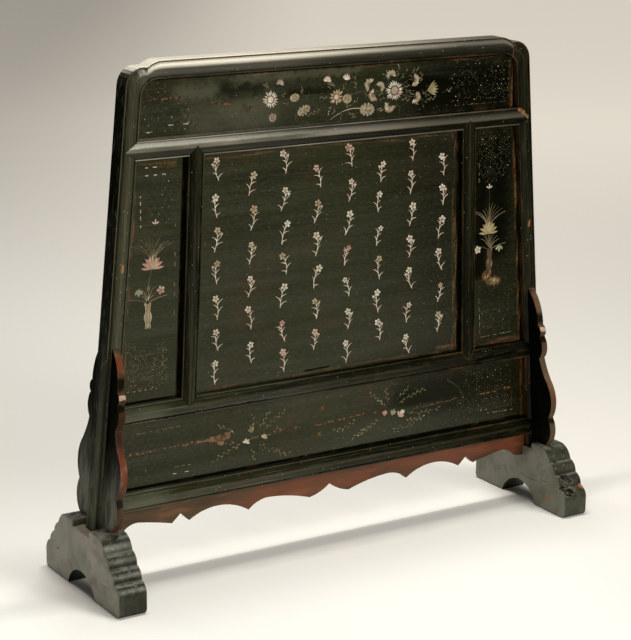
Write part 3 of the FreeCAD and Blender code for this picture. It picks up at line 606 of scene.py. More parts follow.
FOOT_LIT_GREY = colour(0.27, 0.265, 0.210)
FOOT_DARK = colour(0.017, 0.020, 0.010)
FOOT_GREEN = colour(0.190, 0.205, 0.145)
FOOT_PALE = colour(0.34, 0.31, 0.255)
FOOT_STAIN = colour(0.13, 0.115, 0.075)
FOOT_SADDLE = colour(0.24, 0.18, 0.13)
FOOT_CHIPS = [
    ((-53, 21), (-57, 17), 2.5),
    ((-57, 18), (-61, 16), 4.5),
    ((-63, 19), (-65, 15), 1.5),
]
FOOT_CORNER_CHIPS = [((316, 35), (319, 33.5), 4.0)]
FOOT_SCRATCHES = [
    ((-46, 26.5), (-66, 27), 0.8),
    ((56, 33), (60, 31), 2.0),
    ((-20, 44), (-24, 36), 1.6),
]
FOOT_SPLITS = [
    ((-2, 34), (-24, 30), 0.7),
    ((-14, 31), (-44, 33), 0.7),
    ((-40, 36), (-54, 37), 0.8),
]
FOOT_GOUGES = [
    ((292, 49), (297, 43), 3.5),
    ((299, 47), (305, 41), 3.0),
    ((288, 36), (300, 32.5), 5.5),
    ((291, 29.5), (297, 27.5), 3.5),
]


def light_and_mottle_feet(coat, left_foot, right_foot):
    """Grey-green mottled sides, paler as painted light on the faces turned left, and dark patchy steps;
    returns the sides, the steps and the saddle.
    """
    clouds = coat.noise(30, 6).ramp(0.42, 0.7, 0, 0.12)
    coat.tone = coat.mix(clouds, FOOT_DARK, FOOT_GREEN)
    mottle = coat.mottled(FOOT_LIT_GREY, FOOT_GREEN, 24, 6, 0.42, 0.62)
    mottle = coat.mix(coat.noise(17, 5).ramp(0.52, 0.66, 0, 0.7), mottle, FOOT_PALE)
    # Painted light: faces turned to the left take the pale grey-green mottle, the right foot's a little
    # less.
    side = coat.facing_x.ramp(-0.4, -0.9) * left_foot.between(0.72, 1)
    stains = coat.noise(48, 7).ramp(0.52, 0.64, 0, 0.4)
    coat.paint(coat.mix(stains, mottle, FOOT_STAIN), side)
    steps = side.ramp(0.0, 0.7, 1.0, 0.0)
    patchy = coat.noise(100, 7, (1, 1, 0.5))
    coat.paint(FOOT_GREEN, steps * patchy.ramp(0.46, 0.64, 0, 0.1))
    coat.paint(BLACK, steps * patchy.ramp(0.5, 0.38, 0, 0.6))
    brown = coat.noise(40, 5).ramp(0.3, 0.6, 0, 0.12)
    coat.paint(FOOT_STAIN, steps * right_foot * brown)
    # The saddle: worn tan wood on its seat, and its riser lightened with the grey-green mottle as painted
    # light where it lies in shade.
    saddle = abs(coat.y).ramp(0.0222, 0.0212) * coat.z.ramp(0.045, 0.05) * left_foot
    seat = coat.mix(coat.facing_z.ramp(0.5, 0.8), mottle, FOOT_SADDLE)
    coat.paint(seat, saddle * 0.9)
    return side, steps, saddle


def shade_and_wear_feet(coat, side, steps, saddle):
    """Painted shade in the creases, dark outlines, rubbed edges, dusty treads and pits; returns the
    creases and the pits.
    """
    crease_shade = coat.crevices(0.004, 0.45, 0.9) * steps * saddle.between(1, 0.25)
    # Painted shade in the creases of the steps, weaker on the saddle.
    coat.paint(BLACK, crease_shade * 0.92)
    edges = coat.edges(0.0014, 0.75, 0.95)
    outline = edges * coat.noise(50, 6).ramp(0.62, 0.46)
    coat.paint(BLACK, outline * 0.9)
    rubbed = edges * coat.noise(110, 6).ramp(0.46, 0.62)
    coat.paint(DUST_AND_HIGHLIGHT, rubbed * steps.between(0.5, 0.7))
    tread = coat.facing_z.ramp(0.8, 0.97) * coat.noise(120, 5).ramp(0.35, 0.6)
    coat.paint(DUST_AND_HIGHLIGHT, tread * 0.25)
    pits = coat.noise(520, 6).ramp(0.55, 0.66) * coat.noise(40, 4).ramp(0.4, 0.6)
    coat.paint(BLACK, pits * side.between(0.5, 0.08))
    specks = coat.facing_z.ramp(0.1, 0.7) * coat.noise(300, 4).ramp(0.6, 0.7)
    coat.paint(DUST_AND_HIGHLIGHT, specks * 0.28)
    return crease_shade, pits


def scar_feet(coat, left_foot, right_foot):
    """Frayed gouges on the front, scratches and splits on the sides, and bare chips."""
    ahead = coat.facing_y.ramp(-0.2, -0.5) * right_foot
    rims = coat.scars(wider(FOOT_GOUGES, 1.7), 9) * ahead
    coat.paint(DUST_AND_HIGHLIGHT, rims * coat.noise(240, 4).ramp(0.45, 0.6) * 0.3)
    coat.paint(BLACK, coat.scars(FOOT_GOUGES, 9, blur=0.5) * ahead)
    scratches = coat.scars(FOOT_SCRATCHES, 3, "YZ") * left_foot
    splits = coat.scars(FOOT_SPLITS, 4, "YZ") * right_foot
    coat.paint(BLACK, (scratches | splits) * 0.8)
    inner = coat.facing_x.ramp(-0.5, -0.9) * coat.scars(FOOT_CHIPS, 2.5, "YZ")
    corner = coat.scars(FOOT_CORNER_CHIPS, 4) * coat.y.ramp(-0.072, -0.076)
    bare = coat.mottled(RUST, BARE_WOOD, 220)
    coat.paint(bare, (inner | corner) * right_foot)


def foot_lacquer():
    """Grey-green sides, pale as painted light, darker pitted steps and a few bare chips."""
    coat = Shader("foot_lacquer")
    left_foot = coat.x.ramp(0, -0.1)
    right_foot = coat.x.ramp(0, 0.1)
    side, steps, saddle = light_and_mottle_feet(coat, left_foot, right_foot)
    crease_shade, pits = shade_and_wear_feet(coat, side, steps, saddle)
    scar_feet(coat, left_foot, right_foot)
    sheen = (crease_shade | pits).between(0.42, 0.08)
    hollows = coat.bump(pits, 0.3, -0.0003)
    uneven = coat.bump(coat.noise(70, 5), 0.3, 0.0012, hollows)
    return finish_lacquer(coat, lacquer_gloss(coat, 0.28, 0.46), sheen, uneven)


# Lacquer of the spandrels and the apron

SPANDREL_BROWN = colour(0.050, 0.024, 0.013)
SPANDREL_RED = colour(0.16, 0.045, 0.022)
SPANDREL_PINK = colour(0.24, 0.125, 0.085)
SPANDREL_OLIVE = colour(0.085, 0.060, 0.034)
SPANDREL_PALE = colour(0.46, 0.33, 0.25)
SPANDREL_TAN = colour(0.26, 0.18, 0.11)
SPANDREL_FLOOR_LIT_GREY = colour(0.165, 0.175, 0.120)
SPANDREL_REDS = [
    ((-80, 260), (0, 260), 17.0),
    ((-80, 147), (0, 147), 38.0),
    ((-80, 78), (0, 78), 8.0),
]
SPANDREL_BLACKS = [
    ((-80, 240), (0, 240), 12.0),
    ((-80, 214), (0, 214), 7.0),
    ((-80, 112), (0, 112), 8.0),
]
SPANDREL_CHIPS = [((-80, 226), (0, 226), 5.0)]


def bare_spandrel(coat):
    """Brown and olive wood with red, black and pale worn places."""
    grain = coat.noise(46, 6, (1, 1, 0.5))
    coat.tone = coat.mix(grain.ramp(0.4, 0.62), SPANDREL_BROWN, SPANDREL_OLIVE)
    behind = coat.y.ramp(0, 0.02)
    red = coat.scars(SPANDREL_REDS, 9, "YZ", 0.7) | behind * grain.ramp(0.44, 0.56)
    blush = coat.mottled(SPANDREL_RED, SPANDREL_PINK, 70, 5, 0.46, 0.66)
    coat.paint(blush, red * coat.x.ramp(0, 0.2, 1, 0.4))
    coat.paint(SPANDREL_TAN, coat.x.ramp(0, 0.2, 0, 0.15))
    black = coat.scars(SPANDREL_BLACKS, 8, "YZ", 0.5) | coat.noise(64, 6).ramp(0.6, 0.66)
    coat.paint(BLACK, black * 0.9)
    coat.paint(SPANDREL_PALE, coat.scars(SPANDREL_CHIPS, 5, "YZ"))


def worn_lacquer():
    """Black lacquer on the faces, grey towards the floor on the left as a painted reflection, rubbed to
    red-brown wood along the edges.
    """
    coat = Shader("worn_lacquer")
    streaks = coat.noise(150, 6, UPRIGHT_GRAIN).ramp(0.34, 0.58, 0.35, 1)
    # Painted reflection of the pale floor: the left spandrels' faces turn grey towards the floor,
    # streaked.
    top_of_grey = coat.y.ramp(-0.01, 0.01, 0.175, 0.225)
    low = (top_of_grey - coat.z).ramp(0, 0.11) * coat.x.ramp(0, -0.1) * streaks
    face = coat.mix(low * coat.y.ramp(-0.01, 0.01, 0.95, 0.55), BLACK, SPANDREL_FLOOR_LIT_GREY)
    bare_spandrel(coat)
    worn = abs(coat.facing_x).ramp(0.9, 0.75)
    rubbed = coat.edges(0.0012, 0.8, 0.95) * coat.noise(70, 4).ramp(0.4, 0.6)
    coat.paint(SPANDREL_PINK, rubbed * 0.6)
    coat.tone = coat.mix(worn | rubbed, face, coat.tone)
    roughness = (worn | coat.z.ramp(0.12, 0.18)).between(0.34, 0.6)
    sheen = coat.z.ramp(0.2, 0.1, 0.04, 0.2) * streaks * coat.x.ramp(0, 0.2, 1, 0.25)
    return finish_lacquer(coat, roughness, sheen * worn.between(1.0, 0.6), lacquer_ripple(coat))


APRON_RED = colour(0.17, 0.045, 0.016)
APRON_BROWN = colour(0.085, 0.045, 0.018)
APRON_DARK = colour(0.045, 0.018, 0.008)
APRON_PALE = colour(0.25, 0.095, 0.038)


def red_lacquer():
    """Red-brown lacquer of the apron, streaked along it and darker at its edges."""
    coat = Shader("red_lacquer")
    coat.tone = coat.mix(coat.x.ramp(-0.2, -0.05), APRON_BROWN, APRON_RED)
    grain = coat.noise(40, 6, (0.12, 1, 1))
    coat.paint(APRON_DARK, grain.ramp(0.45, 0.75, 0, 0.8))
    thin = coat.noise(120, 7, (0.16, 1, 1))
    coat.paint(APRON_PALE, thin.ramp(0.52, 0.66, 0, 0.5))
    coat.paint(APRON_DARK, thin.ramp(0.46, 0.34, 0, 0.6))
    coat.paint(APRON_BROWN, coat.noise(30, 6).ramp(0.52, 0.66, 0, 0.5))
    rubbed = coat.edges(0.0012, 0.8, 0.95) * coat.noise(80, 5).ramp(0.42, 0.6, 0, 0.6)
    coat.paint(APRON_DARK, rubbed)
    return finish_lacquer(coat, lacquer_gloss(coat, 0.3, 0.45), FULL_SHEEN, lacquer_ripple(coat))


def dress_nodes():
    uprights = frame_lacquer("upright_lacquer", True)
    finishes = {
        "panel": panel_lacquer(),
        "foot": foot_lacquer(),
        "spandrel": worn_lacquer(),
        "apron": red_lacquer(),
        "stile": uprights,
        "muntin": uprights,
    }
    rails = frame_lacquer("rail_lacquer", False)
    for name, item in frame["nodes"].items():
        finish = finishes.get(name.split("_")[0], rails)
        for slot in item.material_slots:
            slot.material = finish


# Outlines for the inlay, as lists of (X, Z)

def moved(points, at, angle):
    """Turn an outline drawn along +X to an angle, and set it at a place."""
    c, s = cos(angle), sin(angle)
    return [(at[0] + x * c - z * s, at[1] + x * s + z * c) for x, z in points]


def step(at, angle, reach):
    """The place that lies a reach away from another, at an angle."""
    return (at[0] + reach * cos(angle), at[1] + reach * sin(angle))


def disc(at, radius, corners=10):
    return [step(at, FULL_TURN * k / corners, radius) for k in range(corners)]


def petal(at, angle, length, width, belly=0.5, fullness=1.0):
    """A pointed oval from its root, widest at belly."""
    shares = (0.08, 0.25, 0.45, 0.65, 0.82, 0.95)
    bend = log(0.5) / log(belly)
    upper = [(t * length, width / 2 * sin(pi * t ** bend) ** fullness) for t in shares]
    lower = [(x, -z) for x, z in upper]
    return moved([(0, 0)] + lower + [(length, 0)] + upper[::-1], at, angle)


def curve(start, middle, end, steps=8):
    """Points of a bow from start to end that passes by middle."""
    points = []
    for k in range(steps + 1):
        t = k / steps
        weights = ((1 - t) ** 2, 2 * t * (1 - t), t ** 2)
        points.append(tuple(sum(w * p[i] for w, p in zip(weights, (start, middle, end))) for i in (0, 1)))
    return points


def ribbon(path, width, tip=0.3):
    """A strip along a path, tapering to its tip."""
    left, right = [], []
    for k, (x, z) in enumerate(path):
        before = path[max(k - 1, 0)]
        after = path[min(k + 1, len(path) - 1)]
        angle = atan2(after[1] - before[1], after[0] - before[0])
        half = width / 2 * (1 - (1 - tip) * k / (len(path) - 1))
        left.append((x - half * sin(angle), z + half * cos(angle)))
        right.append((x + half * sin(angle), z - half * cos(angle)))
    return left + right[::-1]


SHELL_RISE = 0.25 * MM
SHELL_STEP = 0.1 * MM
SHELL_DEPTH = 0.3 * MM


class Inlay:
    """The shell pieces let into one panel, gathered into one mesh per finish."""

    def __init__(self, panel, seed):
        self.panel = panel
        self.chance = random.Random(seed)
        self.shells = {}

    def vary(self, low, high):
        return self.chance.uniform(low, high)

    def cut(self, finish, outline, layer=0):
        if finish not in self.shells:
            self.shells[finish] = bmesh.new()
        shell = self.shells[finish]
        front_y = PANEL_FACE - SHELL_RISE - layer * SHELL_STEP
        back_y = PANEL_FACE + SHELL_DEPTH
        front = [shell.verts.new((x * MM, front_y, z * MM)) for x, z in outline]
        back = [shell.verts.new((x * MM, back_y, z * MM)) for x, z in outline]
        shell.faces.new(front)
        shell.faces.new(back[::-1])
        for k in range(len(outline)):
            after = (k + 1) % len(outline)
            shell.faces.new((front[k], back[k], back[after], front[after]))

    def lay(self, finishes):
        for finish, shell in self.shells.items():
            bmesh.ops.recalc_face_normals(shell, faces=shell.faces)
            name = "inlay_%s_%s" % (self.panel, finish)
            mesh = bpy.data.meshes.new(name)
            shell.to_mesh(mesh)
            shell.free()
            mesh.materials.append(finishes[finish])
            piece = add_object(name, mesh)
            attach(piece, "root")

    # Lines

    def stem(self, finish, start, middle, end, width=0.7):
        self.cut(finish, ribbon(curve(start, middle, end), width))

    def dashes(self, finish, start, end, dash=3.5, gap=2.5, width=0.7, kept_share=0.7):
        length = dist(start, end)
        angle = atan2(end[1] - start[1], end[0] - start[0])
        half = width / 2
        at = 0.0
        while at < length:
            if self.chance.random() < kept_share:
                reach = dash * self.vary(0.5, 1.0)
                bar = [(at, -half), (at + reach, -half), (at + reach, half), (at, half)]
                self.cut(finish, moved(bar, start, angle))
            at += dash + gap

    def border(self, rows):
        for row in rows:
            self.dashes(*row)

    def diaper(self, low, high, inside, line_finish, pitch=8.0, dots=0.7, lines=0.75, width=0.3):
        """Hexagons with a dot in each, over the part of a box that lies inside."""
        side = pitch / sqrt(3)
        row_step = side * 1.5
        rows = int((high[1] - low[1]) / row_step)
        columns = int((high[0] - low[0]) / pitch)
        for row in range(rows + 1):
            for column in range(columns + 1):
                at = (low[0] + pitch * (column + 0.5 * (row % 2)), low[1] + row_step * row)
                if at[0] > high[0] or not inside(*at):
                    continue
                if self.chance.random() < dots:
                    finish = self.chance.choice(("pearl", "gilt", "gilt"))
                    self.cut(finish, disc(at, self.vary(0.3, 0.6), 6))
                for k in range(3):
                    if self.chance.random() < lines:
                        path = [step(at, radians(30 + 60 * (k + m)), side) for m in (0, 1)]
                        self.cut(line_finish, ribbon(path, width, 1.0))

    # Flowers and leaves

    def blossom(self, at, radius, petals=5, finish="pearl", start=None):
        turn = self.vary(0, FULL_TURN) if start is None else start
        for k in range(petals):
            angle = turn + FULL_TURN * k / petals
            root = step(at, angle, radius * 0.16)
            self.cut(finish, petal(root, angle, radius * 0.84, radius * 0.66, 0.6, 0.7), k % 2)
        self.cut("gilt", disc(at, radius * 0.2, 8), 2)

    def chrysanthemum(self, at, radius, petals, hub, hub_finish="pearl", finish="pearl"):
        """A flower head: slender pointed petals round a hub, with a dark ring between."""
        start = hub * 1.15
        for k in range(petals):
            angle = FULL_TURN * (k + self.vary(-0.2, 0.2)) / petals
            reach = radius * self.vary(0.85, 1.08)
            root = step(at, angle, start)
            self.cut(finish, petal(root, angle, reach - start, 2.9 * radius / petals, 0.42), k % 2)
        self.cut(hub_finish, disc(at, hub, 14), 2)

    def fan(self, at, angle, spread, count, length, width, finish, layer=0):
        """Petals that open from one root; its angle and spread are in degrees."""
        for k in range(count):
            share = k / (count - 1) - 0.5
            reach = length * (1 - 0.25 * abs(share))
            lean = radians(angle) + radians(spread) * share
            self.cut(finish, petal(at, lean, reach, width, 0.6), layer + k % 3)

    def half_head(self, at, radius, angle, finish="rose"):
        """A head seen from behind: a half disc with scalloped ends."""
        for k in range(9):
            lean = angle + radians(24) * (k - 4)
            root = step(at, lean, radius * 0.12)
            reach = radius * self.vary(0.72, 0.9)
            shade = finish if k % 3 else "cream"
            self.cut(shade, petal(root, lean, reach, radius * 0.3, 0.68), k % 3)
        self.cut("gilt", petal(at, angle, radius * 0.4, radius * 0.4), 4)

    def peony(self, at, width, height, angle, finish="rose", core_finish="cream"):
        """An oval head: overlapping rings of short petals round a core of finer ones."""
        turns = [FULL_TURN * k / 13 for k in range(13)]
        oval = [(width * 0.36 * cos(a), height * 0.36 * sin(a)) for a in turns]
        self.cut("gilt", moved(oval, at, angle))
        for k, turn in enumerate(turns):
            place = (width * 0.26 * cos(turn), height * 0.26 * sin(turn))
            lean = angle + atan2(height * sin(turn), width * cos(turn))
            root = moved([place], at, angle)[0]
            self.cut(finish, petal(root, lean, height * 0.34, height * 0.26, 0.62), 1 + k % 2)
        for k in range(10):
            place = (width * self.vary(-0.34, 0.2), height * self.vary(-0.22, 0.22))
            lean = angle + self.vary(-0.5, 0.5)
            core = self.chance.choice((core_finish, finish))
            root = moved([place], at, angle)[0]
            self.cut(core, petal(root, lean, height * 0.34, height * 0.12), 3 + k % 5)

    def foliage(self, at, inner, count, length):
        """Small leafy twigs that stand out round a flower."""
        for k in range(count):
            angle = FULL_TURN * (k + self.vary(-0.3, 0.3)) / count
            root = step(at, angle, inner)
            lean = angle + self.vary(-0.7, 0.7)
            leaf = self.chance.choice(("gilt", "gilt", "hairline", "jade"))
            bow = self.vary(-3, 3)
            self.twig(root, lean, length * self.vary(0.7, 1.1), bow, "hairline", leaf, 4, 3.8)

    def twig(self, root, angle, length, bow, finish="gilt", leaf="gilt", leaves=5, size=5.0):
        """A bowed twig with leaves on alternate sides."""
        end = step(root, angle, length)
        middle = moved([(length * 0.5, bow)], root, angle)[0]
        path = curve(root, middle, end, 2 * leaves)
        self.cut(finish, ribbon(path, 0.5))
        for k in range(leaves):
            if self.chance.random() < 0.15:
                continue
            spot = path[min(2 * k + 2, len(path) - 1)]
            side = 1 if k % 2 else -1
            lean = angle + side * radians(self.vary(24, 46))
            self.cut(leaf, petal(spot, lean, size * self.vary(0.7, 1.2), size * 0.22), 1 + k % 2)

    def sprig(self, at, height, tilt):
        """A flowering stem with slender bowed leaves and small blossoms."""
        up = pi / 2 + tilt
        bow = height * self.vary(0.08, 0.2) * self.chance.choice((-1, 1))
        foot, middle, head = moved([(-height * 0.5, 0), (-height * 0.05, bow), (height * 0.34, 0)], at, up)
        path = curve(foot, middle, head, 10)
        self.cut("pearl", ribbon(path, 0.9, 0.6))
        side = 1 if bow > 0 else -1
        for k, spot in enumerate((path[1], path[3], path[5], path[7])):
            side = -side
            lean = up + side * self.vary(0.55, 1.0)
            reach = height * self.vary(0.2, 0.34)
            bow_out, bow_end = (reach * 0.5, -side * reach * 0.16), (reach, side * reach * 0.1)
            bend, tip = moved([bow_out, bow_end], spot, lean)
            self.cut("pearl", ribbon(curve(spot, bend, tip, 5), 1.4, 0.15), 1 + k % 2)
        finish = self.chance.choice(("pearl", "pearl", "pearl", "cream", "blush"))
        self.blossom(head, height * self.vary(0.14, 0.18), 5, finish)
        if self.chance.random() < 0.5:
            bud = moved([(height * 0.16, side * height * 0.22)], at, up)[0]
            self.cut("pearl", ribbon([path[5], bud], 0.6, 0.7), 3)
            lean = degrees(up - side * 0.3)
            self.fan(bud, lean, degrees(1.0), 3, height * 0.13, height * 0.06, finish, 1)

    def reeds(self, at, height, count, spread):
        """Fine blades that fan out and droop."""
        for k in range(count):
            share = 2 * k / (count - 1) - 1
            reach = height * self.vary(0.75, 1.0) * (1 - 0.35 * abs(share))
            middle = (at[0] + spread * share * 0.25, at[1] + reach * 0.8)
            finish = self.chance.choice(("cream", "gilt"))
            self.stem(finish, at, middle, (at[0] + spread * share, at[1] + reach), 0.5)

    def lotus(self, at, width, finish):
        """An open lotus seen from the side, its outer petals below."""
        half = width / 2
        self.fan(at, 90, 165, 8, half * 1.05, half * 0.17, finish)
        self.fan(at, 90, 105, 5, half * 0.95, half * 0.17, finish, 3)
        self.fan(at, 90, 40, 3, half * 1.05, half * 0.16, "cream", 6)

    def vase(self, at, height, half_width, finish):
        """A slender beaker with a swelling middle, drawn in upright folds."""
        profile = [(0.75, 0.0), (0.62, 0.22), (1.0, 0.38), (1.0, 0.52), (0.6, 0.68), (0.85, 1.0)]
        right = [(at[0] + w * half_width, at[1] + h * height) for w, h in profile]
        left = [(at[0] - w * half_width, at[1] + h * height) for w, h in reversed(profile)]
        self.cut(finish, right + left)
        for share in (-0.55, 0.0, 0.5):
            fold = [(at[0] + share * w * half_width, at[1] + h * height) for w, h in profile]
            self.cut("hairline", ribbon(fold, 0.8, 0.6), 1)


# What is laid in each panel

def top_inlay():
    """Flower heads along a spray of twigs, between two diapers."""
    inlay = Inlay("top", 11)
    inlay.chrysanthemum((-86, 528), 10.0, 17, 3.6)
    inlay.chrysanthemum((-0.5, 525), 9.5, 12, 3.0, "pearl", "cream")
    inlay.chrysanthemum((78, 527), 12.0, 24, 4.6, "rose")
    peonies = (
        ((-43, 513), 21, 10, 22, "rose"),
        ((41, 508), 22, 13, -6, "rose"),
        ((-83, 508), 9, 8, 50, "rose"),
        ((-55, 528), 13, 8, 10, "cream"),
        ((14, 522), 12, 9, -10, "cream"),
    )
    for at, width, height, angle, finish in peonies:
        inlay.peony(at, width, height, radians(angle), finish)
    inlay.fan((-13, 543), 80, 150, 7, 6.5, 2.2, "pearl")
    inlay.fan((12, 543), 75, 110, 5, 7.5, 2.2, "pearl")
    inlay.fan((-74, 544), 75, 170, 6, 6.0, 1.8, "rose")
    half_heads = (
        ((44, 536), 8.0, 150), ((50, 524), 8.0, 200), ((58, 532), 7.0, 40), ((73, 544), 7.5, 95),
        ((105, 537), 8.0, -10), ((107, 517), 8.0, -25), ((72, 510), 8.5, -110),
    )
    for at, radius, angle in half_heads:
        inlay.half_head(at, radius, radians(angle))
    inlay.fan((123, 524), 10, 70, 6, 17, 2.6, "gilt")
    inlay.fan((-118, 521), 150, 150, 6, 8, 1.6, "hairline")
    inlay.fan((-112, 516), 100, 130, 6, 8, 1.4, "hairline", 3)
    inlay.stem("pearl", (31, 510), (12, 513), (-8, 500), 0.8)
    inlay.stem("hairline", (-76, 524), (-40, 534), (-8, 526))
    inlay.stem("hairline", (8, 522), (40, 536), (68, 523))
    inlay.stem("hairline", (88, 522), (105, 514), (123, 524))
    inlay.stem("hairline", (-86, 518), (-92, 512), (-104, 508))
    foliage = (
        ((-86, 528), 12, 4, 7), ((-0.5, 525), 10, 8, 10), ((78, 527), 13, 13, 13), ((41, 508), 12, 4, 8),
        ((14, 512), 5, 5, 11), ((108, 526), 8, 7, 11), ((-50, 520), 10, 4, 8),
    )
    for at, inner, count, length in foliage:
        inlay.foliage(at, inner, count, length)
    twigs = (((-20, 514), 200), ((28, 528), 100), ((96, 541), 30), ((118, 510), 15), ((145, 520), 5))
    for root, angle in twigs:
        inlay.twig(root, radians(angle), 15, 3, "hairline", leaves=6, size=4.0)
    inlay.diaper((-240, 504), (-165, 552), lambda x, z: x < -172 - 0.9 * (z - 508), "groove",
                 dots=0.45, width=0.7)
    inlay.diaper((158, 504), (240, 552), lambda x, z: x > 150 + 0.55 * abs(z - 524), "hairline",
                 6.0, 0.5, 0.25)
    inlay.border([
        ("pearl", (-230, 509.5), (-190, 509.5), 9, 9, 0.9, 0.8),
        ("pearl", (-238, 503.5), (-180, 503.5), 8, 12, 0.9, 0.7),
        ("hairline", (165, 503.5), (235, 503.5), 7, 2, 0.6, 0.8),
        ("hairline", (240, 508), (240, 545), 5, 2, 0.6, 0.8),
    ])
    return inlay


def side_flowers(inlay, vase_at, vase_height, lotus_at, bud_at, vase_finish, lotus_finish):
    """A vase of lotus with reeds and a bud above."""
    x, z = lotus_at
    mouth = (vase_at[0], vase_at[1] + vase_height)
    inlay.vase(vase_at, vase_height, 4.6, vase_finish)
    inlay.reeds((mouth[0], mouth[1] - 1), 27, 9, 14)
    inlay.reeds((mouth[0], mouth[1] - 1), 13, 4, 24)
    inlay.stem("gilt", mouth, (mouth[0] - 1, mouth[1] + 20), (x, z - 4), 0.7)
    inlay.lotus((x, z - 6), 31, lotus_finish)
    inlay.reeds(lotus_at, 36, 11, 25)
    inlay.stem("hairline", lotus_at, (bud_at[0] + 2, bud_at[1] - 18), bud_at, 0.5)
    inlay.fan(bud_at, 90, 110, 3, 6.0, 1.8, "pearl")


def left_inlay():
    """A vase of pink lotus between two diapers."""
    inlay = Inlay("left", 23)
    side_flowers(inlay, (-238, 290), 28, (-232, 361), (-228, 404), "cream", "blush")
    inlay.blossom((-222, 331), 5.0, 5, "blush")
    inlay.fan((-249, 335), -90, 70, 3, 9, 3.2, "jade")
    inlay.diaper((-262, 223), (-214, 280), lambda x, z: z < 258 + 0.9 * abs(x + 238), "gilt",
                 5.8, 0.4, 0.6, 0.25)
    inlay.diaper((-244, 408), (-208, 464), lambda x, z: x > -250 + 0.6 * (z - 400), "groove",
                 dots=0.5, width=0.6)
    inlay.border([
        ("gilt", (-264, 221), (-222, 221), 4, 3, 0.8),
        ("pearl", (-246, 402), (-246, 436), 4.5, 3.5, 0.8, 0.8),
        ("pearl", (-240, 466), (-215, 466), 6, 3, 0.8, 0.7),
        ("pearl", (-240, 457.5), (-212, 457.5), 5, 5, 0.8, 0.6),
        ("gilt", (-263, 300), (-258, 388), 6, 4, 0.8, 0.7),
        ("gilt", (-206, 300), (-204, 400), 6, 5, 0.8, 0.6),
        ("gilt", (-221, 230), (-219, 280), 5, 3, 0.7, 0.7),
    ])
    return inlay


def right_inlay():
    """A vase of tawny lotus with dark peonies at its foot, between two diapers."""
    inlay = Inlay("right", 37)
    side_flowers(inlay, (222, 296), 30, (219, 352), (218, 401), "tan", "honey")
    inlay.blossom((204, 328), 5.0, 5, "pearl")
    inlay.fan((236, 331), -90, 80, 3, 9, 3.2, "jade")
    inlay.peony((229, 287), 30, 12, radians(-4), "umber", "tan")
    inlay.peony((218, 295), 13, 11, radians(70), "umber", "tan")
    inlay.diaper((202, 410), (246, 466), lambda x, z: z > 404 + 0.6 * abs(x - 224), "hairline",
                 6.5, 0.5, 0.6)
    inlay.diaper((214, 226), (252, 262), lambda x, z: z < 246 + 0.7 * abs(x - 228), "hairline",
                 6.5, 0.4, 0.6)
    inlay.border([
        ("gilt", (212.5, 219), (253, 220), 9, 0.8, 0.5, 0.9),
        ("gilt", (212, 222), (209, 262), 9, 0.8, 0.4, 0.8),
        ("hairline", (256, 222), (252, 280), 7, 1.5, 0.6, 0.8),
        ("gilt", (203, 400), (201, 445), 6, 3, 0.5, 0.7),
        ("hairline", (205, 468), (240, 468), 6, 4, 0.7, 0.6),
    ])
    return inlay


def centre_inlay():
    """Half-drop rows of flowering sprigs."""
    inlay = Inlay("centre", 53)
    columns, rows = 8, 7
    column_step, row_step = 43.0, 38.0
    top_row, lowest = 456, 224
    for column in range(columns):
        x = (column - (columns - 1) / 2) * column_step - 2
        drop = row_step / 2 if column % 2 else 0
        for row in range(rows):
            z = top_row - row * row_step - drop
            if z < lowest:
                continue
            at = (x + inlay.vary(-2, 2), z + inlay.vary(-2, 2))
            inlay.sprig(at, inlay.vary(24, 29), inlay.vary(-0.3, 0.3))
    return inlay


